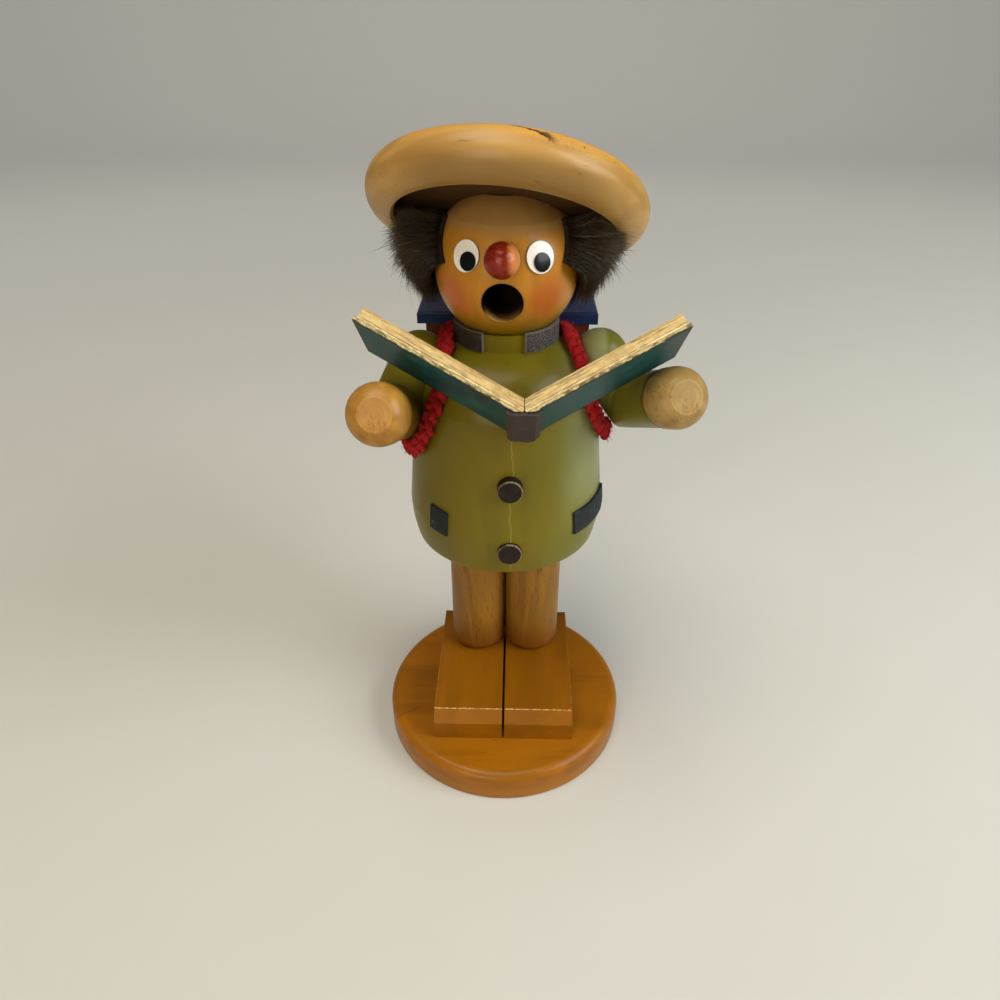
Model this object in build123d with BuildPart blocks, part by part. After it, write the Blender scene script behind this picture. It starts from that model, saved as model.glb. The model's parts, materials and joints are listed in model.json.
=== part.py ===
from build123d import *
from math import cos, radians, sin
import os

# Incense smoker: a turned wooden wanderer in a wide hat, with a rucksack and an open book.
# Millimetres. The origin is the centre of the base plate's underside, +Z is up and the
# figure looks towards -Y. Left and right are the viewer's, so left is -X.

# Fits
glue_gap = 0.05
seat_gap = 0.1
sliding_gap = 0.1
overrun = 1.0

# Base plate and shoes
base_diameter = 70.0
base_thickness = 9.0
base_top_round = 2.6
base_bottom_round = 0.6
shoe_width = 19.4
shoe_gap = 0.7
shoe_length = 45.0
shoe_height = 9.0
shoe_toe_y = -21.5
toe_bevel = 3.0
shoe_edge = 0.3

# Legs and the plug that they carry
figure_axis_y = 12.5
leg_diameter = 16.2
leg_gap = 0.2
leg_length = 40.0
leg_foot_round = 2.6
leg_flare = 1.2
leg_flare_height = 7.0
dowel_diameter = 4.0
dowel_depth_in_leg = 12.0
dowel_depth_in_base = 5.0
dowel_depth_in_plug = 6.0
dowel_end_gap = 0.2
plug_flange_diameter = 35.0
plug_flange_height = 4.4
plug_spigot_height = 14.0
plug_chamfer = 1.0
plug_flange_round = 2.4
draft_hole_diameter = 3.2
draft_hole_offset = 12.2

# Tin dish for the incense cone
dish_diameter = 19.0
dish_height = 3.0
dish_wall = 0.5
nail_diameter = 1.2
nail_length = 9.0
nail_head_diameter = 3.6
nail_head_height = 0.7

# Coat: a hollow turned body with its neck
coat_rim_radius = 24.8
coat_belly_radius = 26.3
coat_belly_height = 10.9
coat_shoulder_radius = 23.5
coat_shoulder_height = 42.0
coat_shoulder_bulge_radius = 20.4
coat_shoulder_bulge_rise = 7.0
coat_rim_round = 1.0
coat_bore_diameter = 30.0
coat_bore_height = 35.0
coat_dome_height = 10.0
smoke_channel_diameter = 9.0
neck_radius = 12.0
neck_foot_rise = 6.4
neck_length = 4.2

# Leather collar
collar_thickness = 0.9
collar_height = 4.7
collar_lift = 0.6
collar_gap_left = 25.0
collar_gap_right = 21.0

# Buttons and pocket strips
button_diameter = 6.2
button_height = 1.1
button_round = 0.4
button_turn = 3.0
upper_button_height = 26.3
lower_button_height = 7.8
pocket_thickness = 0.7
left_pocket_from = 33.5
left_pocket_to = 46.0
left_pocket_top = 16.4
left_pocket_rise = 0.6
left_pocket_depth = 6.6
right_pocket_from = 42.0
right_pocket_to = 80.0
right_pocket_top = 15.6
right_pocket_depth = 6.4
right_pocket_corner = 2.4

# Head
head_radius = 16.9
head_widest_height = 12.5
head_foot_radius = 11.1
head_lower_radius = 15.3
head_lower_height = 5.4
head_upper_radius = 16.0
head_upper_height = 19.0
head_crown_radius = 13.4
head_crown_height = 25.0
head_top_radius = 7.5
head_top_height = 29.8
head_spigot_diameter = 14.0
head_spigot_length = 7.5
head_smoke_hole = 7.2
face_turn = -2.6
mouth_diameter = 9.3
mouth_height = 9.0
mouth_roof = 5.5
nose_diameter = 7.8
nose_height = 19.0
nose_reach = 1.3
nose_peg_diameter = 3.5
nose_peg_length = 6.0
eye_turn = 30.0
eye_height = 18.7
eye_width = 6.8
eye_tall = 6.7
eye_thickness = 0.35
pupil_diameter = 3.95
left_pupil_turn = 27.0
right_pupil_turn = 30.4
pupil_height = 17.8
pupil_thickness = 0.25

# Hair: a strip of fur round the back of the head
hair_temple_turn = 52.0
hair_foot_height = 12.0
hair_foot_radius = 20.0
hair_wide_radius = 26.5
hair_wide_height = 18.0
hair_top_height = 26.0
hair_gap = 0.4

# Hat: one turned disc with a hollow underside, tipped back
hat_offset_y = 1.1
hat_height = 25.7
hat_tip_back = 31.7
hat_roll = 6.5
hat_radius = 32.1
brim_half_thickness = 5.5
hat_hollow_radius = 25.4
hat_ceiling_height = -0.6
hat_lip_bevel = 0.7
crown_foot_radius = 16.5
crown_foot_height = 4.6
crown_side_radius = 13.0
crown_side_height = 11.0
crown_top_height = 15.9

# Arms: a mitred sleeve and a hand on a peg
sleeve_radius = 7.0
cuff_radius = 6.8
hand_radius = 7.1
wrist_radius = 5.3
wrist_length = 0.9
hand_length = 9.2
hand_round_length = 5.0
hand_facet_radius = 3.7
hand_peg_diameter = 5.0
hand_peg_length = 7.0
shoulder_peg_diameter = 4.0
shoulder_peg_length = 12.0
shoulder_peg_slope = 0.35
sleeve_length = 21.5
left_shoulder_out = 21.5
left_shoulder_forward = 1.5
left_shoulder_rise = 7.8
left_elbow_out = 27.5
left_elbow_forward = 9.5
left_elbow_drop = 3.5
left_aim_out = 27.3
left_aim_forward = 35.9
left_aim_rise = 9.1
right_shoulder_out = 23.5
right_shoulder_back = 1.0
right_shoulder_rise = 7.8
right_elbow_out = 32.0
right_elbow_forward = 2.0
right_elbow_drop = 3.0
right_aim_out = 38.6
right_aim_forward = 24.5
right_aim_rise = 8.3

# Book: two thick wings on a leather spine
book_foot_aside = 4.3
book_foot_forward = 27.1
book_foot_drop = 1.4
book_lean = 42.7
book_wing_rise = 30.0
book_left_wing_length = 42.2
book_right_wing_length = 40.4
book_height = 18.2
cover_thickness = 0.9
pages_thickness = 2.8
pages_inset = 0.5
spine_flat_height = 1.4
spine_strip_width = 7.6
spine_strip_thickness = 0.7
spine_tongue_length = 5.2
spine_tongue_radius = 3.4

# Rucksack and its straps
pack_width = 44.0
pack_front_back = 17.0
pack_depth = 17.0
pack_top_rise = 10.5
pack_height = 31.0
pack_edge_round = 1.6
lid_overhang_side = 2.2
lid_overhang_front = 1.0
lid_overhang_rear = 1.8
lid_thickness = 3.2
lid_edge_round = 0.6
strap_diameter = 2.2
# Points of each strap: to the right of, behind and above the axis at the shoulder line
left_strap_route = [
    (-15.3, 16.0, 8.4), (-15.1, 12.0, 10.8), (-14.9, 6.0, 13.2),
    (-14.7, -0.5, 14.0), (-14.7, -6.5, 13.2), (-14.7, -11.9, 11.2),
    (-15.1, -15.7, 8.0), (-16.0, -17.7, 4.2), (-17.6, -18.0, 0.1),
    (-19.4, -17.1, -5.0), (-21.8, -14.9, -9.8), (-24.5, -10.2, -13.2),
    (-26.4, -3.5, -14.4), (-26.4, 3.7, -14.7), (-24.8, 10.3, -14.3),
    (-22.3, 16.0, -14.6),
]
right_strap_route = [
    (15.3, 16.0, 8.4), (15.3, 12.0, 10.8), (15.4, 6.0, 13.1),
    (16.0, -0.3, 13.3), (17.1, -5.7, 11.9), (18.4, -9.9, 9.3),
    (19.5, -12.7, 5.9), (20.6, -13.8, 2.1), (21.9, -13.2, -1.7),
    (23.6, -10.7, -5.7), (25.4, -6.3, -9.3), (26.5, -0.9, -12.1),
    (26.4, 4.9, -13.6), (24.8, 10.7, -14.3), (22.3, 16.0, -14.6),
]
strap_bend_share = 0.45

# Levels and radii that follow from the sizes above
figure_axis = Axis((0, figure_axis_y, 0), (0, 0, 1))
base_top = base_thickness
shoe_top = base_top + shoe_height
leg_top = shoe_top + leg_length
flange_top = leg_top + plug_flange_height
spigot_top = flange_top + plug_spigot_height
coat_foot = flange_top + seat_gap
coat_belly_z = coat_foot + coat_belly_height
shoulder_line = coat_foot + coat_shoulder_height
coat_bulge_z = shoulder_line + coat_shoulder_bulge_rise
neck_foot = coat_bulge_z + neck_foot_rise
neck_top = neck_foot + neck_length
head_foot = neck_top + seat_gap
head_middle = head_foot + head_widest_height
bore_radius = coat_bore_diameter / 2
leg_centre_x = leg_diameter / 2 + leg_gap / 2
dowel_hole_radius = dowel_diameter / 2 + glue_gap
neck_socket_radius = head_spigot_diameter / 2 + sliding_gap

os.makedirs("parts", exist_ok=True)


def save(builder, name):
    """Label one finished piece and write it to its own STEP file."""
    builder.part.label = name
    export_step(builder.part, f"parts/{name}.step")


def radial_plane(angle):
    """Upright plane through the figure's axis, whose X points at an angle from +X."""
    turn = radians(angle)
    return Plane(origin=(0, figure_axis_y, 0), x_dir=(cos(turn), sin(turn), 0),
                 z_dir=(sin(turn), -cos(turn), 0))


def figure_point(right, forward, rise):
    """Point placed from the figure's axis at the level of the coat's shoulder line."""
    return Vector(right, figure_axis_y - forward, shoulder_line + rise)


def facing_plane(turn, height, distance):
    """Plane that faces outwards from the figure's axis, turned from -Y towards +X."""
    angle = radians(turn)
    out = Vector(sin(angle), -cos(angle), 0)
    centre = Vector(0, figure_axis_y, height) + out * distance
    return Plane(origin=centre, x_dir=(cos(angle), sin(angle), 0), z_dir=out)


left_shoulder = figure_point(-left_shoulder_out, left_shoulder_forward, left_shoulder_rise)
left_elbow = figure_point(-left_elbow_out, left_elbow_forward, -left_elbow_drop)
left_hand_aim = figure_point(-left_aim_out, left_aim_forward, left_aim_rise)
right_shoulder = figure_point(right_shoulder_out, -right_shoulder_back, right_shoulder_rise)
right_elbow = figure_point(right_elbow_out, right_elbow_forward, -right_elbow_drop)
right_hand_aim = figure_point(right_aim_out, right_aim_forward, right_aim_rise)
book_foot = figure_point(book_foot_aside, book_foot_forward, -book_foot_drop)


# Base plate: a disc with a soft upper edge, drilled for the ankle dowels
with BuildPart() as base_plate:
    with BuildSketch(Plane.XY):
        Circle(base_diameter / 2)
    extrude(amount=base_thickness)
    fillet(base_plate.edges().group_by(Axis.Z)[-1], radius=base_top_round)
    fillet(base_plate.edges().group_by(Axis.Z)[0], radius=base_bottom_round)
    with BuildSketch(Plane.XY.offset(base_top)):
        with Locations((-leg_centre_x, figure_axis_y), (leg_centre_x, figure_axis_y)):
            Circle(dowel_hole_radius)
    extrude(amount=-(dowel_depth_in_base + dowel_end_gap), mode=Mode.SUBTRACT)
save(base_plate, "base_plate")


def make_shoe(side):
    """Shoe block with a bevelled toe, left for side -1 and right for side 1."""
    inner_x = side * shoe_gap / 2
    outer_x = side * (shoe_gap / 2 + shoe_width)
    heel_y = shoe_toe_y + shoe_length
    with BuildPart() as shoe:
        with BuildSketch(Plane.YZ.offset(min(inner_x, outer_x))):
            with BuildLine():
                Polyline(
                    (shoe_toe_y, base_top),
                    (heel_y, base_top),
                    (heel_y, shoe_top),
                    (shoe_toe_y + toe_bevel, shoe_top),
                    (shoe_toe_y, shoe_top - toe_bevel),
                    close=True,
                )
            make_face()
        extrude(amount=shoe_width)
        fillet(shoe.edges().filter_by(Axis.X).group_by(Axis.Z)[1:], radius=shoe_edge)
        with BuildSketch(Plane.XY.offset(base_top)):
            with Locations((side * leg_centre_x, figure_axis_y)):
                Circle(dowel_hole_radius)
        extrude(amount=shoe_height + overrun, mode=Mode.SUBTRACT)
    return shoe


def make_leg(side):
    """Turned leg with a round foot and a flared top, cut flat where the legs meet."""
    centre_x = side * leg_centre_x
    radius = leg_diameter / 2
    leg_plane = Plane(origin=(centre_x, figure_axis_y, 0), x_dir=(1, 0, 0), z_dir=(0, -1, 0))
    meeting_plane = Plane(origin=(side * leg_gap / 2, 0, 0), z_dir=(side, 0, 0))
    with BuildPart() as leg:
        with BuildSketch(leg_plane):
            with BuildLine():
                Polyline((0, leg_top), (0, shoe_top), (radius - leg_foot_round, shoe_top))
                ThreePointArc(
                    (radius - leg_foot_round, shoe_top),
                    (radius - leg_foot_round + leg_foot_round * sin(radians(45)),
                     shoe_top + leg_foot_round - leg_foot_round * cos(radians(45))),
                    (radius, shoe_top + leg_foot_round),
                )
                Line((radius, shoe_top + leg_foot_round), (radius, leg_top - leg_flare_height))
                TangentArc((radius, leg_top - leg_flare_height), (radius + leg_flare, leg_top),
                           tangent=(0, 1))
                Line((radius + leg_flare, leg_top), (0, leg_top))
            make_face()
        revolve(axis=Axis((centre_x, figure_axis_y, 0), (0, 0, 1)))
        split(bisect_by=meeting_plane, keep=Keep.TOP)
        with BuildSketch(Plane.XY.offset(shoe_top)):
            with Locations((centre_x, figure_axis_y)):
                Circle(dowel_hole_radius)
        extrude(amount=dowel_depth_in_leg + dowel_end_gap, mode=Mode.SUBTRACT)
        with BuildSketch(Plane.XY.offset(leg_top)):
            with Locations((centre_x, figure_axis_y)):
                Circle(dowel_hole_radius)
        extrude(amount=-(dowel_depth_in_leg + dowel_end_gap), mode=Mode.SUBTRACT)
    return leg


for side, side_name in ((-1, "left"), (1, "right")):
    save(make_shoe(side), f"{side_name}_shoe")
    save(make_leg(side), f"{side_name}_leg")


def make_dowel_pair(foot, length):
    """Two upright dowels, one on each leg's centre line."""
    with BuildPart() as dowels:
        with BuildSketch(Plane.XY.offset(foot)):
            with Locations((-leg_centre_x, figure_axis_y), (leg_centre_x, figure_axis_y)):
                Circle(dowel_diameter / 2)
        extrude(amount=length)
    return dowels


# Ankle dowels run from the base plate through the shoes into the legs,
# hip dowels run from the legs into the plug
save(make_dowel_pair(base_top - dowel_depth_in_base,
                     dowel_depth_in_base + shoe_height + dowel_depth_in_leg), "ankle_dowels")
save(make_dowel_pair(leg_top - dowel_depth_in_leg,
                     dowel_depth_in_leg + dowel_depth_in_plug), "hip_dowels")

# Plug: the flange that the coat stands on and the spigot inside its bore
with BuildPart() as hip_plug:
    with BuildSketch(Plane.XY.offset(leg_top)):
        with Locations((0, figure_axis_y)):
            Circle(plug_flange_diameter / 2)
    extrude(amount=plug_flange_height)
    fillet(hip_plug.edges().group_by(Axis.Z)[0], radius=plug_flange_round)
    with BuildSketch(Plane.XY.offset(flange_top)):
        with Locations((0, figure_axis_y)):
            Circle(bore_radius - sliding_gap)
    extrude(amount=plug_spigot_height)
    chamfer(hip_plug.edges().group_by(Axis.Z)[-1], length=plug_chamfer)
    with BuildSketch(Plane.XY.offset(leg_top)):
        with Locations((-leg_centre_x, figure_axis_y), (leg_centre_x, figure_axis_y)):
            Circle(dowel_hole_radius)
    extrude(amount=dowel_depth_in_plug + dowel_end_gap, mode=Mode.SUBTRACT)
    with BuildSketch(Plane.XY.offset(leg_top)):
        with Locations((0, figure_axis_y - draft_hole_offset),
                       (0, figure_axis_y + draft_hole_offset)):
            Circle(draft_hole_diameter / 2)
    extrude(amount=plug_flange_height + plug_spigot_height + overrun, mode=Mode.SUBTRACT)
    with BuildSketch(Plane.XY.offset(spigot_top)):
        with Locations((0, figure_axis_y)):
            Circle(nail_diameter / 2 + glue_gap)
    extrude(amount=-(nail_length + dowel_end_gap), mode=Mode.SUBTRACT)
save(hip_plug, "hip_plug")

# Dish: pressed tin, held by one nail
with BuildPart() as cone_dish:
    with BuildSketch(Plane.XY.offset(spigot_top)):
        with Locations((0, figure_axis_y)):
            Circle(dish_diameter / 2)
    extrude(amount=dish_height)
    with BuildSketch(Plane.XY.offset(spigot_top + dish_wall)):
        with Locations((0, figure_axis_y)):
            Circle(dish_diameter / 2 - dish_wall)
    extrude(amount=dish_height, mode=Mode.SUBTRACT)
    with BuildSketch(Plane.XY.offset(spigot_top)):
        with Locations((0, figure_axis_y)):
            Circle(nail_diameter / 2 + glue_gap)
    extrude(amount=dish_height, mode=Mode.SUBTRACT)
save(cone_dish, "cone_dish")

with BuildPart() as dish_nail:
    with BuildSketch(Plane.XY.offset(spigot_top + dish_wall)):
        with Locations((0, figure_axis_y)):
            Circle(nail_head_diameter / 2)
    extrude(amount=nail_head_height)
    with BuildSketch(Plane.XY.offset(spigot_top + dish_wall)):
        with Locations((0, figure_axis_y)):
            Circle(nail_diameter / 2)
    extrude(amount=-nail_length)
save(dish_nail, "dish_nail")


def coat_outline(skin):
    """Outer outline of the coat from its rim to the neck's top, grown by a skin."""
    TangentArc((coat_belly_radius + skin, coat_belly_z), (coat_rim_radius + skin, coat_foot),
               tangent=(0, -1))
    Line((coat_belly_radius + skin, coat_belly_z), (coat_shoulder_radius + skin, shoulder_line))
    ThreePointArc(
        (coat_shoulder_radius + skin, shoulder_line),
        (coat_shoulder_bulge_radius + skin, coat_bulge_z + skin),
        (neck_radius + skin, neck_foot + skin),
    )
    Line((neck_radius + skin, neck_foot + skin), (neck_radius + skin, neck_top))


def coat_envelope(skin):
    """The coat's outer form without its bore, grown by a skin."""
    with BuildPart(mode=Mode.PRIVATE) as envelope:
        with BuildSketch(radial_plane(0)):
            with BuildLine():
                coat_outline(skin)
                Polyline((neck_radius + skin, neck_top), (0, neck_top), (0, coat_foot),
                         (coat_rim_radius + skin, coat_foot))
            make_face()
        revolve(axis=figure_axis)
    return envelope.part


def shoulder_peg_plane(shoulder):
    """Plane at a shoulder's centre that faces the figure's axis, sloping down into the coat."""
    inwards = Vector(-shoulder.X, figure_axis_y - shoulder.Y, 0).normalized()
    return Plane(origin=shoulder, z_dir=inwards - Vector(0, 0, shoulder_peg_slope))


# Coat: a thick turned shell with a wide bore, a domed top and a channel through its neck
with BuildPart() as coat:
    add(coat_envelope(0))
    fillet(coat.edges().group_by(Axis.Z)[0], radius=coat_rim_round)
    bore_top = coat_foot + coat_bore_height
    with BuildSketch(radial_plane(0)):
        with BuildLine():
            Polyline((smoke_channel_diameter / 2, bore_top + coat_dome_height),
                     (0, bore_top + coat_dome_height), (0, coat_foot),
                     (bore_radius, coat_foot), (bore_radius, bore_top))
            ThreePointArc(
                (bore_radius, bore_top),
                (smoke_channel_diameter / 2
                 + (bore_radius - smoke_channel_diameter / 2) * cos(radians(45)),
                 bore_top + coat_dome_height * sin(radians(45))),
                (smoke_channel_diameter / 2, bore_top + coat_dome_height),
            )
        make_face()
    revolve(axis=figure_axis, mode=Mode.SUBTRACT)
    with BuildSketch(Plane.XY.offset(neck_top)):
        with Locations((0, figure_axis_y)):
            Circle(neck_socket_radius)
    extrude(amount=-(head_spigot_length + seat_gap), mode=Mode.SUBTRACT)
    with BuildSketch(Plane.XY.offset(bore_top)):
        with Locations((0, figure_axis_y)):
            Circle(smoke_channel_diameter / 2)
    extrude(amount=neck_top - bore_top, mode=Mode.SUBTRACT)
    for shoulder in (left_shoulder, right_shoulder):
        with BuildSketch(shoulder_peg_plane(shoulder)):
            Circle(shoulder_peg_diameter / 2 + glue_gap)
        extrude(amount=shoulder_peg_length, mode=Mode.SUBTRACT)
save(coat, "coat")

# Collar: one leather strip round the neck, open in front
with BuildPart() as collar:
    with BuildSketch(radial_plane(collar_gap_right - 90)):
        with Locations((neck_radius + glue_gap + collar_thickness / 2,
                        neck_top + collar_lift - collar_height / 2)):
            Rectangle(collar_thickness, collar_height)
    revolve(axis=figure_axis, revolution_arc=360 - collar_gap_left - collar_gap_right)
save(collar, "collar")


def make_button(height):
    """Round button on the coat's front, hollowed behind to lie on the cloth."""
    surface = facing_plane(button_turn, coat_foot + height, coat_shoulder_radius)
    reach = coat_belly_radius - coat_shoulder_radius + button_height
    with BuildPart() as button:
        with BuildSketch(surface):
            Circle(button_diameter / 2)
        extrude(amount=reach)
        fillet(button.faces().sort_by(Axis.Y)[0].edges(), radius=button_round)
        add(coat_envelope(glue_gap), mode=Mode.SUBTRACT)
    return button


save(make_button(upper_button_height), "upper_button")
save(make_button(lower_button_height), "lower_button")


def make_pocket(outline, turn):
    """Leather strip that follows the coat, cut out of a skin by an outline seen from outside."""
    with BuildPart() as pocket:
        add(coat_envelope(glue_gap + pocket_thickness))
        add(coat_envelope(glue_gap), mode=Mode.SUBTRACT)
        with BuildSketch(facing_plane(turn, coat_foot, 0)):
            with BuildLine():
                Polyline(*outline, close=True)
            make_face()
        extrude(amount=coat_belly_radius + overrun, mode=Mode.INTERSECT)
    return pocket


def pocket_half_width(angle_from, angle_to):
    """Half the chord that a pocket spans on the coat's belly."""
    return coat_belly_radius * sin(radians((angle_to - angle_from) / 2))


left_half = pocket_half_width(left_pocket_from, left_pocket_to)
save(make_pocket(
    [
        (-left_half, left_pocket_top + left_pocket_rise),
        (left_half, left_pocket_top),
        (left_half, left_pocket_top - left_pocket_depth),
        (-left_half, left_pocket_top + left_pocket_rise - left_pocket_depth),
    ],
    -(left_pocket_from + left_pocket_to) / 2), "left_pocket")

right_half = pocket_half_width(right_pocket_from, right_pocket_to)
save(make_pocket(
    [
        (-right_half, right_pocket_top),
        (right_half, right_pocket_top),
        (right_half, right_pocket_top - right_pocket_depth + right_pocket_corner),
        (right_half - right_pocket_corner, right_pocket_top - right_pocket_depth),
        (-right_half, right_pocket_top - right_pocket_depth),
    ],
    (right_pocket_from + right_pocket_to) / 2), "right_pocket")

# Head: a turned ball on a spigot, with a smoke channel that opens at the mouth
hat_centre = Vector(0, figure_axis_y + hat_offset_y, head_foot + hat_height)
tip = radians(hat_tip_back)
roll = radians(hat_roll)
hat_up = Vector(sin(roll) * cos(tip), sin(tip), cos(roll) * cos(tip))
hat_across = Vector(cos(roll), 0, -sin(roll))
hat_plane = Plane(origin=hat_centre, x_dir=hat_across, z_dir=hat_up)
hat_profile_plane = Plane(origin=hat_centre, x_dir=hat_across, z_dir=-hat_plane.y_dir)
hat_axis = Axis(hat_centre, hat_up)


def head_envelope(skin):
    """The head's outer form before it is cut for the hat, grown by a skin."""
    with BuildPart(mode=Mode.PRIVATE) as envelope:
        with BuildSketch(radial_plane(0)):
            with BuildLine():
                ThreePointArc(
                    (head_foot_radius + skin, head_foot),
                    (head_lower_radius + skin, head_foot + head_lower_height),
                    (head_radius + skin, head_middle),
                )
                ThreePointArc(
                    (head_radius + skin, head_middle),
                    (head_upper_radius + skin, head_foot + head_upper_height),
                    (head_crown_radius + skin, head_foot + head_crown_height),
                )
                TangentArc(
                    (head_crown_radius + skin, head_foot + head_crown_height),
                    (head_top_radius, head_foot + head_top_height + skin),
                    tangent=(-1, 1),
                )
                Polyline(
                    (head_top_radius, head_foot + head_top_height + skin),
                    (0, head_foot + head_top_height + skin),
                    (0, head_foot),
                    (head_foot_radius + skin, head_foot),
                )
            make_face()
        revolve(axis=figure_axis)
    return envelope.part


with BuildPart() as head:
    add(head_envelope(0))
    with BuildSketch(Plane.XY.offset(head_foot)):
        with Locations((0, figure_axis_y)):
            Circle(head_spigot_diameter / 2)
    extrude(amount=-head_spigot_length)
    split(bisect_by=hat_plane.offset(hat_ceiling_height), keep=Keep.BOTTOM)
    with BuildSketch(Plane.XY.offset(head_foot - head_spigot_length)):
        with Locations((0, figure_axis_y)):
            Circle(head_smoke_hole / 2)
    extrude(amount=head_spigot_length + mouth_height + mouth_roof, mode=Mode.SUBTRACT)
    with BuildSketch(facing_plane(face_turn, head_foot + mouth_height, 0)):
        Circle(mouth_diameter / 2)
    extrude(amount=head_radius + overrun, mode=Mode.SUBTRACT)
    with BuildSketch(facing_plane(face_turn, head_foot + nose_height, head_radius + overrun)):
        Circle(nose_peg_diameter / 2 + glue_gap)
    extrude(amount=-(overrun + nose_peg_length + dowel_end_gap), mode=Mode.SUBTRACT)
save(head, "head")

# Nose: a turned ball on a peg
nose_plane = facing_plane(face_turn, head_foot + nose_height, head_radius + nose_reach)
with BuildPart() as nose:
    with Locations(nose_plane):
        Sphere(nose_diameter / 2)
    add(head_envelope(glue_gap), mode=Mode.SUBTRACT)
    with BuildSketch(nose_plane):
        Circle(nose_peg_diameter / 2)
    extrude(amount=-(nose_reach + nose_peg_length))
save(nose, "nose")


def make_face_patch(inner_skin, outer_skin, turn, height, width, tall):
    """Thin oval that follows the head, between two skins."""
    with BuildPart() as patch:
        add(head_envelope(outer_skin))
        add(head_envelope(inner_skin), mode=Mode.SUBTRACT)
        with BuildSketch(facing_plane(face_turn + turn, head_foot + height, 0)):
            Ellipse(width / 2, tall / 2)
        extrude(amount=head_radius + overrun, mode=Mode.INTERSECT)
    return patch


for side, side_name, pupil_turn in ((-1, "left", left_pupil_turn),
                                    (1, "right", right_pupil_turn)):
    save(make_face_patch(glue_gap, glue_gap + eye_thickness,
                         side * eye_turn, eye_height, eye_width, eye_tall), f"{side_name}_eye")
    pupil_base = glue_gap + eye_thickness + glue_gap
    save(make_face_patch(pupil_base, pupil_base + pupil_thickness,
                         side * pupil_turn, pupil_height, pupil_diameter, pupil_diameter),
         f"{side_name}_pupil")


def hat_outline(skin):
    """Half outline of the hat in its own plane, grown by a skin."""
    edge = brim_half_thickness + skin
    flat_radius = hat_radius - brim_half_thickness
    hollow = hat_hollow_radius - skin
    ceiling = hat_ceiling_height - skin
    Polyline((0, crown_top_height + skin), (0, ceiling), (hollow, ceiling),
             (hollow, hat_lip_bevel - edge), (hollow + hat_lip_bevel, -edge),
             (flat_radius, -edge))
    ThreePointArc((flat_radius, -edge), (hat_radius + skin, 0), (flat_radius, edge))
    Polyline((flat_radius, edge), (crown_foot_radius, crown_foot_height + skin),
             (crown_side_radius + skin, crown_side_height + skin))
    TangentArc((0, crown_top_height + skin),
               (crown_side_radius + skin, crown_side_height + skin), tangent=(1, 0))


# Hat: one turned disc with a low crown, a round brim and a hollow that takes the hair
with BuildPart() as hat:
    with BuildSketch(hat_profile_plane):
        with BuildLine():
            hat_outline(0)
        make_face()
    revolve(axis=hat_axis)
save(hat, "hat")

# Hair: plain solid of the fur strip, from temple to temple round the back
with BuildPart(mode=Mode.PRIVATE) as hat_space:
    with BuildSketch(hat_profile_plane):
        with BuildLine():
            hat_outline(hair_gap)
        make_face()
    revolve(axis=hat_axis)

with BuildPart() as hair:
    with BuildSketch(radial_plane(face_turn + hair_temple_turn - 90)):
        with BuildLine():
            Polyline(
                (head_foot_radius, head_foot + hair_foot_height),
                (hair_foot_radius, head_foot + hair_foot_height),
                (hair_wide_radius, head_foot + hair_wide_height),
                (hair_wide_radius, head_foot + hair_top_height),
                (head_foot_radius, head_foot + hair_top_height),
                close=True,
            )
        make_face()
    revolve(axis=figure_axis, revolution_arc=360 - 2 * hair_temple_turn)
    add(head_envelope(hair_gap), mode=Mode.SUBTRACT)
    add(hat_space.part, mode=Mode.SUBTRACT)
    split(bisect_by=hat_plane.offset(hat_ceiling_height - hair_gap), keep=Keep.BOTTOM)
save(hair, "hair")


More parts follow.
